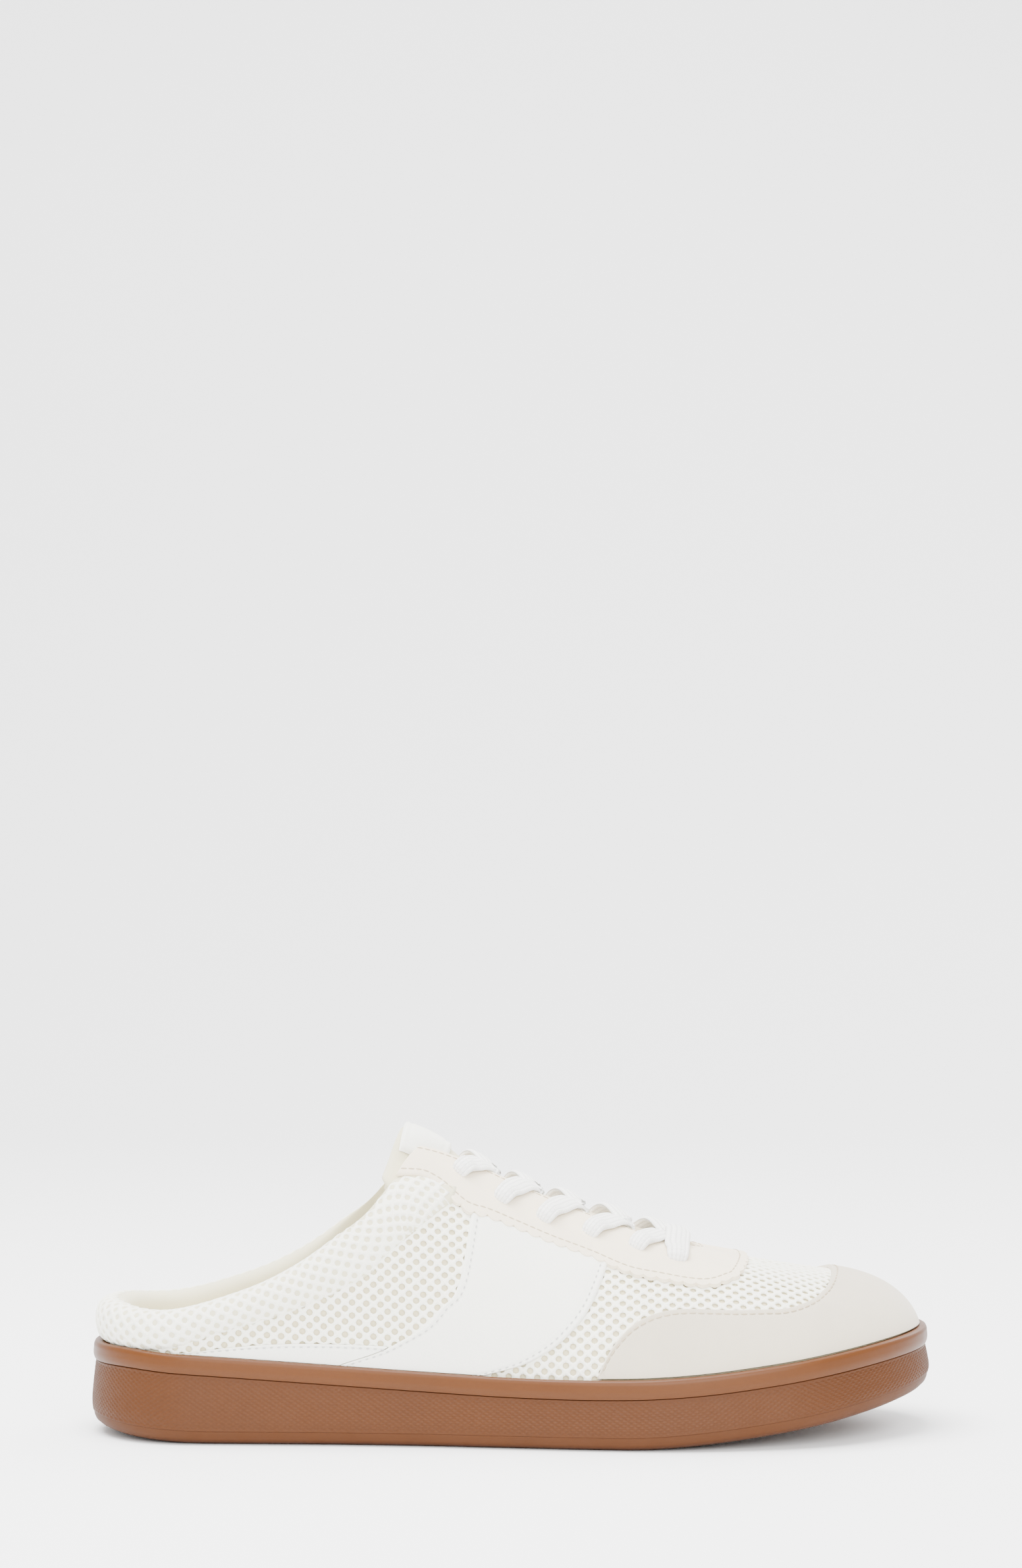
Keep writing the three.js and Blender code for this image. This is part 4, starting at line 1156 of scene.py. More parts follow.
def make_wall(last):
    """Tall wall of the sole with its fine lozenge relief."""
    turns = even_turns(last, 1400)
    ring = last.outline(turns, 0.0)
    around = np.cumsum(np.linalg.norm(ring - np.roll(ring, 1, axis=0), axis=1))
    along = around / around[-1] * round(around[-1] / last.relief_pitch)
    rings = []
    for share in np.linspace(0, 1, 66):
        inset = WALL_SIDE.follow("inset", share) * MM
        flat = last.outline(turns, inset)
        low = last.underside(flat[:, 0]) + last.outsole + 0.2 * last.gap
        high = last.sole_ledge(flat[:, 0])
        z = lerp(low, high, share)
        rise = (z - low) / last.relief_rise
        lozenge = (np.cos(math.pi * (along + rise)) * np.cos(math.pi * (along - rise))) ** 2
        fade = ease(z - low, 0.2 * MM, 0.9 * MM) * ease(high - z, 0.2 * MM, 0.8 * MM)
        relief = last.relief_depth * fade * (lozenge - RELIEF_LEVEL)
        rings.append(np.concatenate([last.outline(turns, inset - relief), z[:, None]], 1))
    return capped(np.array(rings))


def make_band(last):
    """Smooth rounded band round the top of the sole."""
    turns = even_turns(last, 480)
    up = np.array([0, 0.03, 0.08, 0.15, 0.3, 0.45, 0.6, 0.72, 0.8, 0.86, 0.91, 0.95, 0.98, 1.0])
    insets = BAND_SIDE.follow("inset", up) * MM
    heights = [lambda x, u=u: lerp(last.sole_ledge(x) + last.gap, last.sole_top(x), u) for u in up]
    outer = sole_rings(last, turns, insets, heights)
    rises = np.linspace(last.band - 2 * last.gap, 0, 4)
    inner = [last.skin(turns, last.climb_at_rise(turns, rise), last.gap) for rise in rises]
    return looped(np.concatenate([outer, np.array(inner)]))


def make_footbed(last):
    """Footbed inside the upper, dished across."""
    lengths = np.linspace(0.004, 0.996, 120)
    across = np.linspace(0, 1, 40)
    inside = -(last.wall + last.gap)
    sheets = []
    for rise in (last.insole, 0.0):
        turns = [last.turn_at(lengths, side) for side in (-1, 1)]
        left, right = (last.skin(turn, last.climb_at_rise(turn, rise), inside) for turn in turns)
        sheets.append(lerp(left[:, None], right[:, None], across[:, None]))
    sheets[0][..., 2] += FOOTBED_RIM * ease(np.abs(2 * across - 1), 0.55, 1.0) - FOOTBED_SUNK
    return sheet_solid(*sheets)


# Pieces of the upper
SHELL_TURNS = 420
SHELL_ROWS = 40
# Gap between the mesh and the backing under it
BACKING_SUNK = 0.05 * MM


def make_shell(last):
    """Backing and lining of the upper as one closed wall, open at the collar, throat and sole."""
    turns = even_turns(last, SHELL_TURNS)
    top = bisect(
        lambda climb: below_opening(last, last.point(turns, climb)),
        np.zeros_like(turns), np.ones_like(turns),
    )
    outer = -(last.mesh - BACKING_SUNK)
    climbs = crowded(SHELL_ROWS, 0.6)
    rows = [(climb * top, outer) for climb in climbs]
    rows += [(top, lerp(outer, -last.wall, share)) for share in (0.33, 0.67)]
    rows += [(climb * top, -last.wall) for climb in climbs[::-1]]
    return looped(np.array([last.skin(turns, climb, lift) for climb, lift in rows]))


def make_pad(last):
    """Rings of the padded collar roll, one after another along the collar."""
    turn = bisect(
        lambda t: last.point(t, last_climb(last, t, PAD_RIM))[..., 0] < PAD_END * last.length,
        np.zeros(1), np.full(1, 0.5),
    )[0]
    turns = np.linspace(-turn, turn, 260)
    top = last_climb(last, turns, PAD_RIM)
    seam = np.minimum(last_climb(last, turns, PAD_SEAM), top)
    thin = ease(last.point(turns, top)[:, 0], PAD_THINS * last.length, PAD_THIN_FROM * last.length)
    rings = []
    for up, lift in spline(PAD_SECTION, 44, closed=True):
        full = lift * last.pad
        flat = max(0.75 * full, -last.wall)
        rings.append(last.skin(turns, lerp(seam, top, up), lerp(full, flat, thin)))
    return np.array(rings).transpose(1, 0, 2)


class PadFace:
    """Outer face of the collar roll, flattened: u along the roll, w down from its rim."""

    STATIONS = 240
    RAYS = np.radians(np.linspace(112, -110, 90))
    DOWN = np.arange(0, 26, 0.4) * MM

    def __init__(self, rings):
        points, faces = turned_out(*capped(rings))
        tree = BVHTree.FromPolygons(points.tolist(), [list(map(int, face)) for face in faces])
        centre = even(rings.mean(1), self.STATIONS)
        ahead = unit(np.gradient(centre, axis=0))
        inward = np.cross(np.array([0, 0, 1.0]), ahead)
        out = -unit(inward) if np.sum(inward * (centre.mean(0) - centre)) > 0 else unit(inward)
        above = np.cross(ahead, out)
        above *= np.sign(above[:, 2:])
        self.u = run_along(centre)
        self.points, self.normals, self.width = [], [], []
        for k, middle in enumerate(centre):
            rays = np.cos(self.RAYS)[:, None] * out[k] + np.sin(self.RAYS)[:, None] * above[k]
            hits = [tree.ray_cast(Vector(middle), Vector(ray)) for ray in rays]
            line = np.array([hit[0] if hit[0] else middle for hit in hits])
            normal = np.array([hit[1] if hit[0] else ray for hit, ray in zip(hits, rays)])
            arc = run_along(line)
            self.width.append(arc[-1])
            self.points.append(np.stack([np.interp(self.DOWN, arc, line[:, n]) for n in range(3)], -1))
            self.normals.append(np.stack([np.interp(self.DOWN, arc, normal[:, n]) for n in range(3)], -1))
        self.points, self.normals, self.width = map(np.array, (self.points, self.normals, self.width))

    def at(self, u, w):
        """Points and normals of the face at flattened places."""
        i = np.interp(u, self.u, np.arange(self.STATIONS))
        points, normals = look_up((self.points, self.normals), i, w / self.DOWN[1])
        return points, unit(normals)

    def cells(self, last):
        """Corners of the mesh's cells over the face, wherever there is room for a whole one."""
        dx, dv = last.hole_pitch / 2, last.hole_rise
        i, j = np.meshgrid(np.arange(2, int(self.u[-1] / dx) - 1), np.arange(14))
        keep = (i + j) % 2 == 0
        i, j = i[keep], j[keep]
        room = np.interp(i * dx, self.u, self.width)
        keep = (j + 1.6) * dv < room
        return cell_keys(i[keep], j[keep])

    def flat(self, last):
        return lambda key: (key[..., 0] * last.hole_pitch / 4, (key[..., 1] + 2) * last.hole_rise / 2)


# Corners of a cell, in quarters of a column and half rows
CELL_CORNERS = [(2, 0), (1, 1), (0, 2), (-1, 1), (-2, 0), (-1, -1), (0, -2), (1, -1)]


def cell_keys(i, j):
    """Whole-number places of the corners of cells at columns i and rows j."""
    return np.stack([np.stack([2 * i + a, 2 * j + b], -1) for a, b in CELL_CORNERS], 1)


def last_climb(last, turn, rows):
    """Climb at which a meridian meets a seam drawn in side view."""
    turn = np.asarray(turn, float)

    def is_below(climb):
        point = last.point(turn, climb)
        return point[..., 2] < last.seam_height(rows, point[..., 0])

    return bisect(is_below, np.zeros_like(turn), np.ones_like(turn))


class Sections:
    """The last's cross-sections, flattened: x along the shoe and v over it from the middle of the girth,
    lateral side positive."""

    FROM, TO = 0.06, 0.9
    STEP = 1.25 * MM
    RAYS = np.radians(np.linspace(-28, 208, 260))
    GIRTH = np.arange(-95, 95.1, 0.8) * MM

    def __init__(self, last):
        turns, climbs = np.meshgrid(np.linspace(0, 1, 721)[:-1], np.linspace(0, 1, 110))
        faces = quads(*turns.shape, around=True)
        tree = BVHTree.FromPolygons(last.point(turns, climbs).reshape(-1, 3).tolist(), faces.tolist())
        self.x = np.arange(self.FROM * last.length, self.TO * last.length, self.STEP)
        self.half, self.points, self.normals = [], [], []
        for x in self.x:
            floor = float(last.sole_top(x))
            centre = Vector((x, float(last.ridge(x)[0]), floor + 1 * MM))
            hits = [tree.ray_cast(centre, Vector((0, -math.cos(a), math.sin(a)))) for a in self.RAYS]
            hits = [hit for hit in hits if hit[0] is not None]
            line = np.array([hit[0] for hit in hits])
            normal = np.array([hit[1] for hit in hits])
            normal *= np.sign(np.sum(normal * (line - np.array(centre)), 1, keepdims=True))
            arc = run_along(line)
            start, stop = arc[line[:, 2] > floor][[0, -1]]
            v = (start + stop) / 2 - arc
            order = np.argsort(v)
            self.half.append((stop - start) / 2)
            self.points.append([np.interp(self.GIRTH, v[order], line[order, k]) for k in range(3)])
            self.normals.append([np.interp(self.GIRTH, v[order], normal[order, k]) for k in range(3)])
        self.half = np.array(self.half)
        self.points = np.array(self.points).transpose(0, 2, 1)
        self.normals = np.array(self.normals).transpose(0, 2, 1)

    def at(self, x, v):
        """Points and normals of the last at flattened places."""
        i = (x - self.x[0]) / self.STEP
        j = (v - self.GIRTH[0]) / (self.GIRTH[1] - self.GIRTH[0])
        points, normals = look_up((self.points, self.normals), i, j)
        return points, unit(normals)

    def half_at(self, x):
        return np.interp(x, self.x, self.half)


# The mesh's rows follow the sole up to one length and the ridge from another
ROWS_FOLLOW_SOLE_TO = 0.6
ROWS_FOLLOW_RIDGE_FROM = 0.76
# Where the mesh starts, where it leaves the pad's seam, and the lengths with a throat to keep clear of
MESH_FROM = 0.085
MESH_PAST_PAD = 0.44
MESH_THROAT = (0.3, 0.76)
# How far the mesh runs under the suede, the sole's edge, the pad and the side panels
MESH_UNDER_SUEDE = 4 * MM
MESH_UNDER_SOLE = 2.4 * MM
MESH_UNDER_PAD = 2.2 * MM
MESH_UNDER_SADDLE = 0.02
MESH_OFF_THROAT = 7 * MM


def mesh_cells(last, sections):
    """Corners of the mesh's cells, the function that lays them on the sections, and masks of the cells
    that show, that lie behind the side panels and that lie on the lateral side."""
    dx, dv = last.hole_pitch / 2, last.hole_rise
    i, j = np.meshgrid(np.arange(int(last.length / dx)), np.arange(-45, 46))
    keep = (i + j) % 2 == 0
    i, j = i[keep], j[keep]

    def flat(key):
        x = key[..., 0] * dx / 2
        v = key[..., 1] * dv / 2
        shared = ease(x / last.length, ROWS_FOLLOW_SOLE_TO, ROWS_FOLLOW_RIDGE_FROM)
        base = sections.half_at(ROWS_FOLLOW_RIDGE_FROM * last.length)
        shift = (1 - shared) * (sections.half_at(x) - base)
        return x, v + np.where(v < 0, -1.0, 1.0) * shift

    centre, _ = sections.at(*flat(np.stack([2 * i, 2 * j], -1)))
    x, y, z = centre.T
    at = x / last.length
    rise = (z - last.sole_top(x)) / last.instep_rise
    cap_from, cap_to = TOE_CAP_EDGE["at"][[0, -1]]
    vamp_from, vamp_to = VAMP["at"][[0, -1]]
    shown = (at > MESH_FROM) & (z > last.sole_top(x) - MESH_UNDER_SOLE)
    shown &= (z < last.seam_height(PAD_SEAM, x) + MESH_UNDER_PAD) | (at > MESH_PAST_PAD)
    shown &= (z < last.seam_height(EYESTAY_EDGE, x) + MESH_UNDER_SUEDE) | (at > vamp_from)
    shown &= (z > last.seam_height(TOE_CAP_EDGE, x) - MESH_UNDER_SUEDE) | (at < cap_from) | (at > cap_to)
    margin = MESH_UNDER_SUEDE / last.ball_width
    in_vamp = y / last.ball_width > VAMP.follow("lateral", at) - margin
    in_vamp &= y / last.ball_width < VAMP.follow("medial", at) + margin
    in_vamp &= at < vamp_to + MESH_UNDER_SUEDE / last.length
    shown &= (at <= cap_to) | in_vamp
    beside = np.abs(y - last.ridge(x)[0]) < throat_half(last, x) + MESH_OFF_THROAT
    shown &= ~((at > MESH_THROAT[0]) & (at < MESH_THROAT[1]) & beside)
    rear = np.interp(rise, SADDLE_REAR["rise"], SADDLE_REAR["at"])
    front = np.interp(rise, SADDLE_FRONT["rise"], SADDLE_FRONT["at"])
    shown &= ~((at > rear + MESH_UNDER_SADDLE) & (at < front - MESH_UNDER_SADDLE))
    return cell_keys(i, j), flat, shown, at < (rear + front) / 2, y < last.ridge(x)[0]


# How far the mesh sinks into the upper, short of its own thickness, in the gap
MESH_PROUD = 0.8
# Mesh over the collar: its holes in those of the mesh, its thickness and how far it sinks into the pad
COLLAR_HOLE = 0.9
COLLAR_MESH = 0.6 * MM
COLLAR_MESH_SUNK = 0.3 * MM


def make_mesh(last, surface, name, keys, flat, sunk, thickness, hole):
    """Perforated cloth over some of a surface's cells, its underside sunk below the surface."""
    unique, index = np.unique(keys.reshape(-1, 2), axis=0, return_inverse=True)
    points, normals = surface.at(*flat(unique))
    points = points - normals * sunk
    faces = index.reshape(-1, 8).tolist()
    a, b, c = points[faces[0][0]], points[faces[0][2]], points[faces[0][4]]
    if np.dot(np.cross(b - a, c - a), normals[faces[0][0]]) < 0:
        faces = [face[::-1] for face in faces]
    piece = make_object(last, name, points, faces, ["mesh_yarn"])
    apply_tree(piece, perforation_tree(), {
        "Hole Radius": hole / 2, "Thickness": thickness, "Material": shoe_material("mesh_yarn"),
    })
    return finish_piece(piece, "white_mesh")


# Part of the toe cap's edge that is drawn in side view, and where its plan takes over
CAP_SIDE_VIEW = (0.5965, 0.825)
CAP_PLAN_FROM = 0.852
CAP_SMOOTHING = 13
# Least height of the toe cap, in climb
CAP_LEAST = 0.004


def smoothed(curve, window):
    """Curve averaged over an odd number of its points."""
    padded = np.pad(curve, ((window // 2, window // 2), (0, 0)), mode="edge")
    return np.stack([np.convolve(column, np.ones(window) / window, "valid") for column in padded.T], 1)


def plan_of(last, point):
    """Length and distance across from the ridge of points."""
    return np.stack([point[:, 0], point[:, 1] - last.ridge(point[:, 0])[0]], 1)


def toe_cap_panel(last):
    """Panel of the toe cap: columns go round the toe, rows climb from the sole to its inner edge."""
    side_points = view_line(last, TOE_CAP_EDGE, *CAP_SIDE_VIEW)
    lines = []
    for side, column in ((-1, "lateral"), (1, "medial")):
        turn, climb = last.in_side_view(side_points[:, 0], side_points[:, 1], side)
        along = np.linspace(CAP_PLAN_FROM, VAMP["at"][-1], 30)
        vamp = np.stack([along * last.length, VAMP.follow(column, along) * last.ball_width], 1)
        lines.append(np.concatenate([plan_of(last, last.point(turn, climb)), plan_of(last, vamp)]))
    whole = np.concatenate([lines[0], lines[1][::-1]])
    turn, climb = last.in_plan(*smoothed(spline(whole[::4], 700), CAP_SMOOTHING).T)
    order = np.argsort(turn)
    turn, climb = turn[order], climb[order]
    low = last.climb_at_sole(turn, 0.3 * last.gap)
    keep = climb > low + CAP_LEAST
    turn, low, climb = turn[keep], low[keep], climb[keep]
    rows = border_shares(26, 45 * MM, 5 * MM)
    climbs = lerp(low, climb, rows[:, None])
    return Panel(last, np.stack([np.broadcast_to(turn, climbs.shape), climbs], -1))


# Lengths of the eyestay's top ends at its two edges, and of the foremost place of its side view
EYESTAY_TOP = 0.364
EYESTAY_INNER_TOP = 0.39
EYESTAY_SIDE_TO = 0.754
# Lengths between which the pinking grows to its full depth, and how pointed its lobes are
SCALLOPS_FROM = (0.412, 0.43)
SCALLOP_POWER = 0.7


def with_round_front(line, front):
    """Line in plan, closed by a quarter ellipse to a length on the ridge."""
    angle = np.linspace(0, math.pi / 2, 60)[1:]
    end = line[-1]
    arc = np.stack([end[0] + (front - end[0]) * np.sin(angle), end[1] * np.cos(angle)], 1)
    return np.concatenate([line, arc])


def eyestay_lines(last, scalloped):
    """Outer and inner edges of the eyestay in plan, from one top end round the front to the other."""
    halves = []
    for side in (-1, 1):
        x = np.linspace(EYESTAY_TOP, EYESTAY_SIDE_TO, 300) * last.length
        turn, climb = last.in_side_view(x, last.seam_height(EYESTAY_EDGE, x), side)
        plan = plan_of(last, last.point(turn, climb))
        halves.append(with_round_front(plan, EYESTAY_FRONT * last.length))
    outer = even(np.concatenate([halves[0], halves[1][-2::-1]]), 1100)
    front = THROAT_FRONT * last.length
    x = np.linspace(EYESTAY_INNER_TOP * last.length, front - last.throat_half_width, 200)
    medial = with_round_front(np.stack([x, throat_half(last, x)], 1), front)
    inner = even(np.concatenate([medial * np.array([1, -1]), medial[-2::-1]]), 1100)
    if scalloped:
        along = unit(np.gradient(outer, axis=0))
        out = np.stack([along[:, 1], -along[:, 0]], 1)
        out *= np.sign(np.sum(out * (outer - inner), 1, keepdims=True))
        length = run_along(outer)
        lobes = round(length[-1] / last.scallop_pitch)
        wave = np.abs(np.sin(math.pi * lobes * length / length[-1])) ** SCALLOP_POWER
        wave *= ease(outer[:, 0] / last.length, *SCALLOPS_FROM)
        outer = outer + out * (wave * last.scallop_depth)[:, None]
    return outer, inner


def eyestay_panel(last, scalloped=True):
    outer, inner = eyestay_lines(last, scalloped)
    rows = border_shares(10, 16 * MM, 3.2 * MM)
    plan = lerp(outer, inner, rows[:, None, None])
    return Panel(last, np.stack(last.in_plan(plan[..., 0], plan[..., 1]), -1))


def saddle_panel(last, side):
    """Broad side panel from the sole up to the eyestay's edge."""
    rear = view_line(last, SADDLE_REAR, SADDLE_REAR["at"][0], SADDLE_REAR["at"][-1])
    front = view_line(last, SADDLE_FRONT, SADDLE_FRONT["at"][0], SADDLE_FRONT["at"][-1])
    bottom = sole_line(last, SADDLE_REAR["at"][0], SADDLE_FRONT["at"][0])
    x = np.linspace(rear[-1, 0], front[-1, 0], 60)
    top = np.stack([x, last.seam_height(EYESTAY_EDGE, x) - last.gap], 1)
    rear[-1], front[-1] = top[0], top[-1]
    across = border_shares(40, 42 * MM, 3.4 * MM)
    rows = border_shares(30, 45 * MM, 3.4 * MM)
    return Panel(last, side_patch(last, side, rear, front, bottom, top, across, rows))


STRIP_BEHIND_SADDLE = 0.6 * MM
# How much further back the strip starts at the sole, in the sole's length
STRIP_SLANT = 0.01


def strip_panel(last, side):
    """Low strip behind a side panel; its front edge runs along the panel's rear edge."""
    low, high = REAR_STRIP_TOP["at"][0], REAR_STRIP_TOP["at"][-1]
    top = view_line(last, REAR_STRIP_TOP, low, high)
    front = view_line(last, SADDLE_REAR, REAR_STRIP_FRONT, high, 30)
    front[:, 0] -= STRIP_BEHIND_SADDLE
    bottom = sole_line(last, low - STRIP_SLANT, front[0, 0] / last.length)
    front[0], top[-1] = bottom[-1], front[-1]
    rear = np.linspace(bottom[0], top[0], 30)
    across = border_shares(60, 60 * MM, 3 * MM)
    rows = border_shares(14, 6 * MM, 2 * MM)
    return Panel(last, side_patch(last, side, rear, front, bottom, top, across, rows))


# Tongue, tab and laces
TONGUE_ROUND = 1.5 * MM
TAB_ROUND = 0.9 * MM
TAB_SEAM = 2 * MM
TAB_SEAM_DEPTH = 0.25 * MM
TAB_SEAM_WIDTH = 0.5 * MM
# Least gap between a sheet's two faces at its rounded edge
SHEET_LEAST = 0.05 * MM


def tongue_lift(last, at, across):
    """Height of the tongue's upper face over the last's surface."""
    crown_rise, spread = (TONGUE_ROWS.follow(name, at) for name in ("crown", "spread"))
    share = np.clip(np.abs(across) / (spread * last.throat_half_width), 0, 1)
    return -(last.wall + 3 * last.gap) + last.tongue * crown_rise * (1 - share**3) ** 2


def make_tongue(last):
    """Padded tongue, rounded over at its sides and its top end."""
    top, foot = TONGUE_ROWS["at"][[0, -1]]
    at = np.concatenate([np.linspace(top, 0.45, 34), np.linspace(0.455, foot, 50)])[:, None]
    share = crowded(34) * 2 - 1
    half, sweep = (TONGUE_ROWS.follow(name, at) for name in ("half", "sweep"))
    across = share * half * last.tongue_half_width
    x = at * last.length - sweep * share**2 * last.tongue_half_width
    side_edge = (1 - np.abs(share)) * half * last.tongue_half_width
    soft = rounded(np.minimum(side_edge, (at - top) * last.length), TONGUE_ROUND)
    middle = tongue_lift(last, at, across) - last.tongue / 2
    high, _ = last.crown(x, across, middle + soft * last.tongue / 2)
    low, _ = last.crown(x, across, middle - soft * last.tongue / 2 - SHEET_LEAST)
    return sheet_solid(high, low)


def make_tab(last):
    """Plain tab over the tongue's top, with a sewn margin."""
    at = np.linspace(TAB_FROM, TAB_TO, 30)[:, None]
    share = crowded(30) * 2 - 1
    across = np.broadcast_to(share * last.tab_half_width, (len(at), len(share)))
    lift = tongue_lift(last, at, across) + last.gap
    ends = np.minimum(TAB_TO - at, at - TAB_FROM) * last.length
    edge = np.minimum((1 - np.abs(share)) * last.tab_half_width, ends)
    seam = TAB_SEAM_DEPTH * bell(edge - TAB_SEAM, TAB_SEAM_WIDTH)
    height = rounded(edge, TAB_ROUND) * last.overlay - seam
    high, _ = last.crown(at * last.length, across, lift + height)
    low, _ = last.crown(at * last.length, across, lift)
    return sheet_solid(high, low)


LACE_ENDS_PAST = 1.2 * MM
LACE_OVER_SUEDE = 0.45 * MM
LACE_SUNK_EDGES = 0.35 * MM
INNER_LACING = 0.86
RIBS = 5
RIB_HEIGHT = 0.3 * MM
# Powers that square off a lace's section, across and up
LACE_SQUARE = (0.6, 0.8)
# Near an eyelet a lace puffs up, narrows, and dives with a rounded end
LACE_PUFF = 0.3 * MM
LACE_DIVE = 1.9 * MM
LACE_DIVE_FROM = 0.9
LACE_TAPER_FROM = 0.6
LACE_END_POWER = 2.6
LACE_LEAST_THICK = 0.3
STRAND_END = {
    "puff_at": 0.84, "puff_width": 0.1, "round_from": 0.87, "taper": 0.22, "taper_to": 0.88, "swell": 0.6,
}
BAR_END = {
    "puff_at": 0.82, "puff_width": 0.12, "round_from": 0.84, "taper": 0.12, "taper_to": 0.85, "swell": 0.5,
}
# Strands in the throat's half width: where they start and where they have risen over its edge, by side
STRAND_START = 0.4
STRAND_RISEN = {-1: 0.62, 1: 0.15}
# Bow of a strand by side: height, place across and spread in millimetres
STRAND_BOW = {-1: (0.9, -1.5, 3.0), 1: (2.6, 6.5, 5.0)}
# How softly a strand comes to lie on the tongue
STRAND_EASE = 0.6 * MM
# Share of a strand from which its steps get finer
STRAND_FINE_FROM = 0.82
# Bow of the front bar, and where it falls off in the throat's half width
BAR_BOW = 2.2 * MM
BAR_FALL = (0.5, 1.4)


def ribbon(last, x, across, lift, width, thick):
    """Flat lace along a path, with ribs along it; returns its points, faces and their UVs in metres."""
    angle = np.linspace(0, 2 * math.pi, 40, endpoint=False)
    flat_x = np.sign(np.cos(angle)) * np.abs(np.cos(angle)) ** LACE_SQUARE[0]
    flat_z = np.sign(np.sin(angle)) * np.abs(np.sin(angle)) ** LACE_SQUARE[1]
    rib = RIB_HEIGHT * np.cos(flat_x * math.pi * RIBS) * np.sign(flat_z) * (np.abs(flat_z) > 0.35)
    centre, up = last.crown(x, across, lift)
    ahead = unit(np.gradient(centre, axis=0))
    aside = unit(np.cross(up, ahead))
    up = np.cross(ahead, aside)
    sink = LACE_SUNK_EDGES * flat_x**2
    high = thick[:, None] / 2 * (1 + flat_z) + rib * (thick / thick.max())[:, None] - sink
    wide = flat_x * width[:, None] / 2
    points = centre[:, None] + aside[:, None] * wide[..., None] + up[:, None] * high[..., None]
    along = np.broadcast_to(run_along(centre)[:, None], high.shape)
    uv = np.stack([np.broadcast_to(flat_x * last.lace_width / 2, high.shape), along], -1)
    points, faces = capped(points)
    uv = np.concatenate([uv.reshape(-1, 2), uv[:1].mean(1), uv[-1:].mean(1)])
    return points, faces, uv


def lace_object(last, name, parts, *nodes):
    """One object of one or more ribbons."""
    points, faces, uvs, count = [], [], [], 0
    for part_points, part_faces, uv in parts:
        part_points, part_faces = turned_out(part_points, part_faces)
        points.append(part_points)
        faces += [[k + count for k in face] for face in part_faces]
        uvs.append(uv)
        count += len(part_points)
    piece = make_object(last, name, np.concatenate(points), faces, ["lace_weave"])
    layer = piece.data.uv_layers.new(name="weave")
    corners = np.zeros(len(piece.data.loops), int)
    piece.data.loops.foreach_get("vertex_index", corners)
    layer.data.foreach_set("uv", np.concatenate(uvs)[corners].ravel())
    return finish_piece(piece, "lace_cotton", *nodes)


def lace_reach(last, eyelet, side):
    """Signed distance from the ridge to a lace's end; the eyestay is narrower on the inner side."""
    share = INNER_LACING if side > 0 else 1.0
    return side * (eyelet[1] * last.lacing_half_width * share + LACE_ENDS_PAST)


def lace_end(last, share, lift, puff_at, puff_width, round_from, taper, taper_to, swell):
    """Lift, width and thickness of a lace whose share comes to 1 at an eyelet."""
    puff = bell(share - puff_at, puff_width)
    lift = lift + LACE_PUFF * puff - ease(share, LACE_DIVE_FROM, 1.0) * LACE_DIVE
    closing = np.clip((share - round_from) / (1 - round_from), 0, 1) ** LACE_END_POWER
    round_end = np.sqrt(np.clip(1 - closing, 0.004, 1))
    width = last.lace_width * (1 - taper * ease(share, LACE_TAPER_FROM, taper_to)) * round_end
    thick = last.lace * (1 + swell * puff) * np.maximum(round_end, LACE_LEAST_THICK)
    return lift, width, thick


def lace_strand(last, first, second, side):
    """Strand from inside the throat at one eyelet's length, over its edge, into the next eyelet."""
    start = -side * STRAND_START * last.throat_half_width
    stop = lace_reach(last, second, side)
    closing = np.sin(np.linspace(0, 1, 22)[1:] * math.pi / 2)
    share = np.concatenate([np.linspace(0, STRAND_FINE_FROM, 40), lerp(STRAND_FINE_FROM, 1, closing)])
    across = lerp(start, stop, share)
    over = last.gap + last.overlay + LACE_OVER_SUEDE
    inside = -(last.wall + last.gap)
    risen = ease(across * side, start * side, STRAND_RISEN[side] * last.throat_half_width)
    bow, middle, spread = STRAND_BOW[side]
    lift = lerp(inside, over, risen) + bow * MM * bell(across - middle * MM, spread * MM)
    on_tongue = tongue_lift(last, lerp(first[0], second[0], share), across) + last.gap
    lift = (lift + on_tongue + np.hypot(lift - on_tongue, STRAND_EASE)) / 2
    x = lerp(first[0], second[0], share) * last.length
    return ribbon(last, x, across, *lace_end(last, share, lift, **STRAND_END))


def lace_bar(last):
    """Front bar between the two lowest eyelets."""
    share = np.sin(np.linspace(-1, 1, 110) * math.pi / 2)
    ends = [lace_reach(last, EYELETS[0], side) for side in (-1, 1)]
    across = np.abs(share) * np.where(share < 0, *ends)
    bow = BAR_BOW * (1 - ease(np.abs(across) / last.throat_half_width, *BAR_FALL))
    lift = last.gap + last.overlay + LACE_OVER_SUEDE + bow
    x = np.full_like(across, EYELETS[0][0] * last.length)
    return ribbon(last, x, across, *lace_end(last, np.abs(share), lift, **BAR_END))


def current_last():
    return Last(bpy.context.scene.mule_sizes)


class MULE_OT_sole(bpy.types.Operator):
    """Build the tread, the wall with its fine relief, the smooth band and the footbed"""

    bl_idname = "mule.sole"
    bl_label = "Sole"

    def execute(self, context):
        last = current_last()
        pieces = [
            ("tread", make_tread, "gum_tread_rubber", 35, "gum_tread", "outsole"),
            ("sole_wall", make_wall, "gum_wall_rubber", None, "gum_wall", "midsole"),
            ("sole_band", make_band, "gum_band_rubber", 60, "gum_band", "foxing_band"),
            ("footbed", make_footbed, "lining_cloth_soft", 60, "lining_cloth", "insole"),
        ]
        for name, make, material, angle, slot, node in pieces:
            solid_piece(last, name, make(last), [material], angle, slot, node)
        return {"FINISHED"}


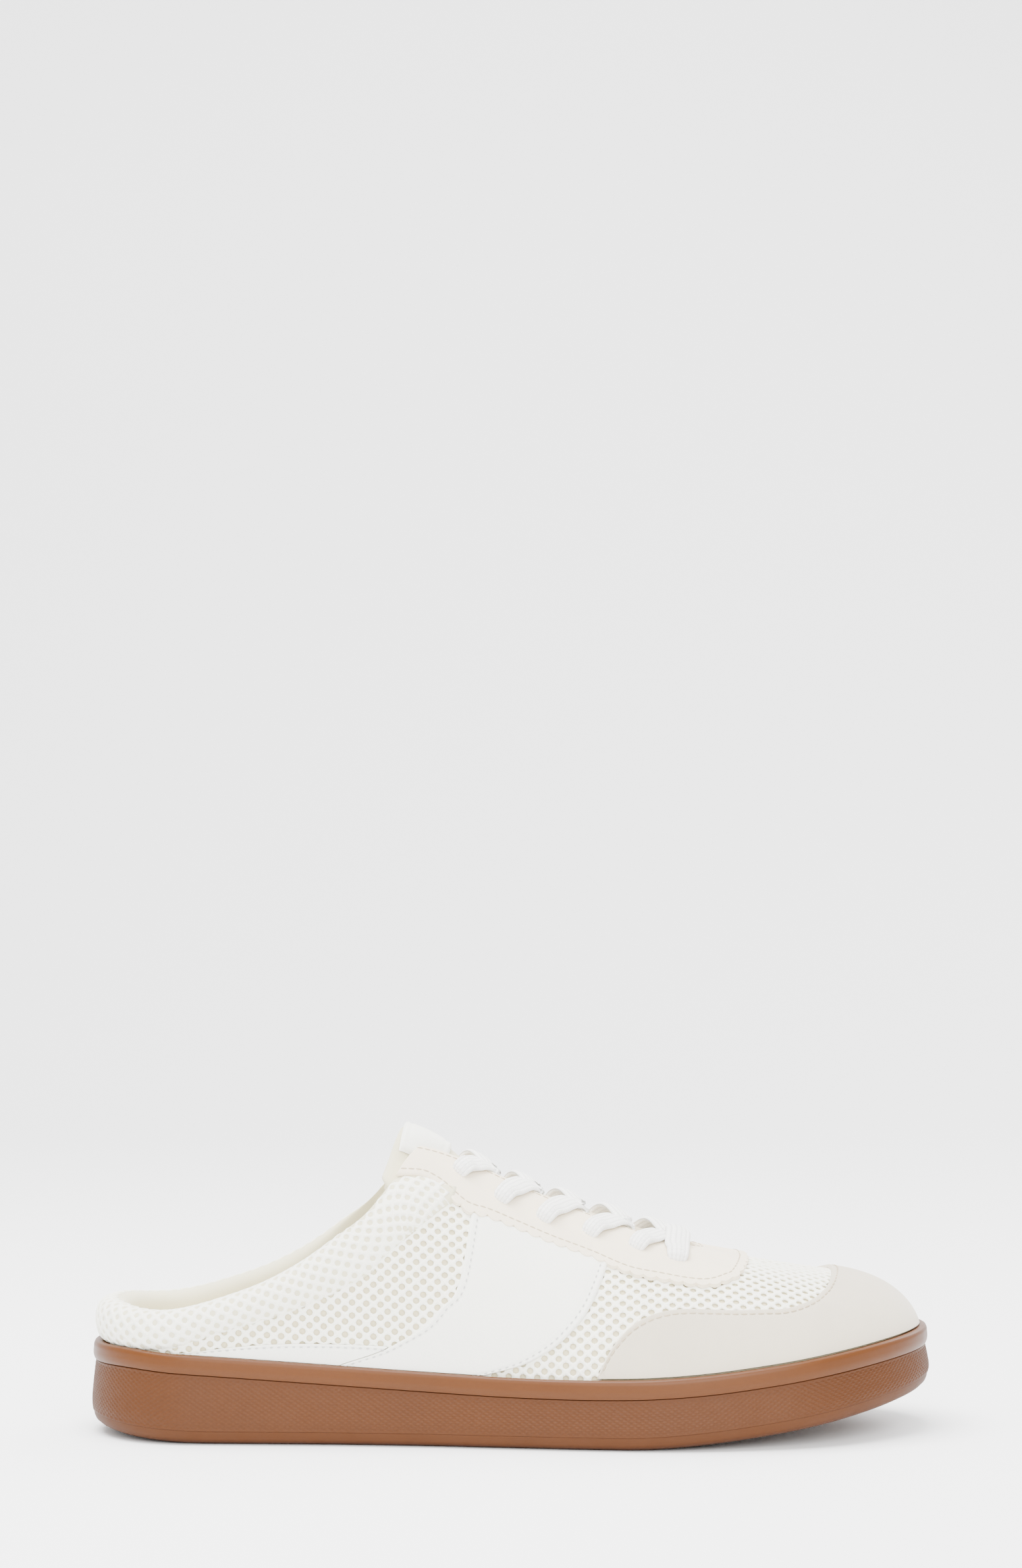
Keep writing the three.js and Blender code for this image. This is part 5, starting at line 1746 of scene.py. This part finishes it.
class MULE_OT_upper(bpy.types.Operator):
    """Build the upper's wall, its padded collar and the perforated mesh over it"""

    bl_idname = "mule.upper"
    bl_label = "Upper"

    def execute(self, context):
        last = current_last()
        shell = solid_piece(
            last, "upper_wall", make_shell(last), ["mesh_backing", "lining_cloth_soft"], 60,
            "white_mesh", "upper",
        )
        row = np.arange(len(shell.data.polygons)) // SHELL_TURNS
        shell.data.polygons.foreach_set("material_index", (row > SHELL_ROWS).astype(int))

        rings = make_pad(last)
        pad = solid_piece(last, "collar_pad", capped(rings), ["pad_cloth"], None, "white_mesh")

        sections = Sections(last)
        keys, flat, shown, behind, lateral = mesh_cells(last, sections)
        sunk = last.mesh - MESH_PROUD * last.gap
        for name, chosen in (
            ("mesh_rear_lateral", shown & behind & lateral),
            ("mesh_rear_medial", shown & behind & ~lateral),
            ("mesh_front", shown & ~behind),
        ):
            make_mesh(last, sections, name, keys[chosen], flat, sunk, last.mesh, last.hole)
        face = PadFace(rings)
        keys, flat, hole = face.cells(last), face.flat(last), COLLAR_HOLE * last.hole
        make_mesh(last, face, "mesh_collar", keys, flat, COLLAR_MESH_SUNK, COLLAR_MESH, hole)
        return {"FINISHED"}


class MULE_OT_panels(bpy.types.Operator):
    """Build the suede toe cap and eyestay and the leather side panels, with their stitches"""

    bl_idname = "mule.panels"
    bl_label = "Panels"

    def execute(self, context):
        last = current_last()
        low, suede_top, leather_top = last.gap, last.gap + last.overlay, last.gap + last.leather
        toe = toe_cap_panel(last)
        shape = toe.solid(low, suede_top, ("upper", "start", "end"), PANEL_ROUND, TOE_SEAM)
        solid_piece(last, "toe_cap_panel", shape, ["toe_cap_suede"], None, "toe_suede", "toe_cap")
        lines = [toe.line("upper", TOE_SEAM, suede_top - TOE_THREAD_SUNK, (10, 10))]
        stitch_lines(last, "toe_cap_stitches", lines, "suede_thread", "toe_suede", 1.0, 0.8, 1.0)

        shape = eyestay_panel(last).solid(low, suede_top, ("lower", "upper", "start", "end"), EYESTAY_ROUND)
        solid_piece(last, "eyestay_panel", shape, ["eyestay_suede"], 50, "beige_suede", "eyestay")
        plain = eyestay_panel(last, scalloped=False)
        lines = [
            plain.line("lower", EYESTAY_SEAM, suede_top, (6, 6)),
            plain.line("upper", EYESTAY_INNER_SEAM, suede_top, (6, 6)),
        ]
        stitch_lines(last, "eyestay_stitches", lines, "suede_thread", "beige_suede", 0.9, 0.8, 1.0)

        lines, thread_lift = [], leather_top - LEATHER_THREAD_SUNK
        for side, word in ((-1, "lateral"), (1, "medial")):
            saddle, strip = saddle_panel(last, side), strip_panel(last, side)
            for name, panel, borders, seam, node in (
                ("side_panel_", saddle, ("start", "end"), SADDLE_SEAM, "saddle_"),
                ("rear_panel_", strip, ("upper", "start"), STRIP_SEAM, "rear_strip_"),
            ):
                shape = panel.solid(low, leather_top, borders, PANEL_ROUND, seam)
                solid_piece(last, name + word, shape, ["panel_leather"], None, "white_leather", node + word)
            lines += [saddle.line(border, SADDLE_SEAM, thread_lift) for border in ("start", "end")]
            lines.append(strip.line("upper", STRIP_SEAM, thread_lift))
        stitch_lines(last, "leather_stitches", lines, "grey_thread", "white_leather", 0.85, 0.42, 0.9)
        return {"FINISHED"}


class MULE_OT_tongue(bpy.types.Operator):
    """Build the padded tongue and the plain tab over its top"""

    bl_idname = "mule.tongue"
    bl_label = "Tongue"

    def execute(self, context):
        last = current_last()
        tongue = solid_piece(
            last, "tongue_pad", make_tongue(last), ["pad_cloth"], None, "tongue_cloth", "tongue",
        )
        tab = make_tab(last)
        solid_piece(last, "tab_panel", tab, ["panel_leather"], None, "white_leather", "tongue_tab")
        return {"FINISHED"}


class MULE_OT_laces(bpy.types.Operator):
    """Lace the shoe: a front bar and five crossings through the eyelets"""

    bl_idname = "mule.laces"
    bl_label = "Laces"

    def execute(self, context):
        last = current_last()
        lace_object(last, "lace_front_bar", [lace_bar(last)], "lace_bar")
        for k in range(len(EYELETS) - 1):
            strands = [lace_strand(last, EYELETS[k], EYELETS[k + 1], side) for side in (-1, 1)]
            lace_object(last, f"lace_crossing_{k + 1}", strands, f"lace_cross_{k + 1}")
        return {"FINISHED"}


# Studio: floor's half width, its back edge, the bend up to the backdrop and the backdrop's height
FLOOR_HALF, FLOOR_BACK, FLOOR_BEND, BACKDROP = 3.0, 1.6, 0.6, 2.4
# Name, place, target, width and power of the lights
LIGHTS = [
    ("top_light", (-0.25, -0.1, 1.2), (0, 0, 0), 1.0, 58.0),
    ("front_light", (0.25, -1.6, 0.9), (0, 0, 0.04), 1.0, 42.0),
    ("rear_light", (0.9, 0.9, 0.9), (0, 0, 0.04), 0.8, 16.0),
]
SURROUND = 1.85
# Camera: target, distance, elevation in degrees, lens and shifts
CAMERA_TARGET = (0.0, -0.0014, 0.045)
CAMERA_DISTANCE = 1.3
CAMERA_ELEVATION = 7.5
LENS, SHIFT_X, SHIFT_Y = 92.3, -0.0006, 0.3234


def make_floor(colour):
    """Studio paper that bends up into a backdrop."""
    bend = np.linspace(0, math.pi / 2, 16)[1:]
    flat_to = FLOOR_BACK - FLOOR_BEND
    profile = [(-FLOOR_HALF, 0.0), (flat_to, 0.0)]
    profile += [(flat_to + FLOOR_BEND * math.sin(a), FLOOR_BEND * (1 - math.cos(a))) for a in bend]
    profile.append((FLOOR_BACK, BACKDROP))
    mesh = bpy.data.meshes.new("floor")
    points = [(x, y, z) for y, z in profile for x in (-FLOOR_HALF, FLOOR_HALF)]
    mesh.from_pydata(points, [], quads(len(profile), 2).tolist())
    mesh.shade_smooth()
    mesh.materials.append(Finish("floor_paper", colour, 0.9, 0.2).material)
    return link_object("floor", mesh)


def make_light(name, place, target, width, power):
    data = bpy.data.lights.new(name, "AREA")
    data.shape = "SQUARE"
    data.size = width
    data.energy = power
    light = link_object(name, data)
    light.location = place
    light.rotation_euler = (Vector(target) - Vector(place)).to_track_quat("-Z", "Y").to_euler()
    return light


def make_camera():
    data = bpy.data.cameras.new("camera")
    data.sensor_width = 36
    data.lens = LENS
    data.shift_x = SHIFT_X
    data.shift_y = SHIFT_Y
    data.clip_start = 0.05
    camera = link_object("camera", data)
    elevation = math.radians(CAMERA_ELEVATION)
    away = CAMERA_DISTANCE * Vector((0, -math.cos(elevation), math.sin(elevation)))
    camera.location = Vector(CAMERA_TARGET) + away
    camera.rotation_euler = (math.radians(90) - elevation, 0, 0)
    return camera


class MULE_OT_stage(bpy.types.Operator):
    """Set the shoe on a pale studio floor with soft light and the camera"""

    bl_idname = "mule.stage"
    bl_label = "Stage"

    def execute(self, context):
        scene = context.scene
        stage = [make_floor(scene.mule_colours.floor)]
        stage += [make_light(*light) for light in LIGHTS]
        world = bpy.data.worlds.new("studio")
        world.use_nodes = True
        background = world.node_tree.nodes["Background"]
        background.inputs["Color"].default_value = (1, 1, 1, 1)
        background.inputs["Strength"].default_value = SURROUND
        scene.world = world
        scene.camera = make_camera()
        return {"FINISHED"}


OPERATORS = (
    MULE_OT_sole, MULE_OT_upper, MULE_OT_panels, MULE_OT_tongue, MULE_OT_laces, MULE_OT_stage,
)


class MULE_PT_build(bpy.types.Panel):
    """Buttons that build the mule piece by piece"""

    bl_idname = "MULE_PT_build"
    bl_label = "Mule"
    bl_space_type = "VIEW_3D"
    bl_region_type = "UI"
    bl_category = "Mule"

    def draw(self, context):
        for operator in OPERATORS:
            self.layout.operator(operator.bl_idname)


CLASSES = (MuleSizes, MuleColours, *OPERATORS, MULE_PT_build)


def register():
    for cls in CLASSES:
        bpy.utils.register_class(cls)
    bpy.types.Scene.mule_sizes = bpy.props.PointerProperty(type=MuleSizes)
    bpy.types.Scene.mule_colours = bpy.props.PointerProperty(type=MuleColours)


def unregister():
    del bpy.types.Scene.mule_colours
    del bpy.types.Scene.mule_sizes
    for cls in reversed(CLASSES):
        bpy.utils.unregister_class(cls)


def main():
    register()
    bpy.ops.mule.sole()
    bpy.ops.mule.upper()
    bpy.ops.mule.panels()
    bpy.ops.mule.tongue()
    bpy.ops.mule.laces()
    bpy.ops.mule.stage()


if __name__ == "__main__":
    main()
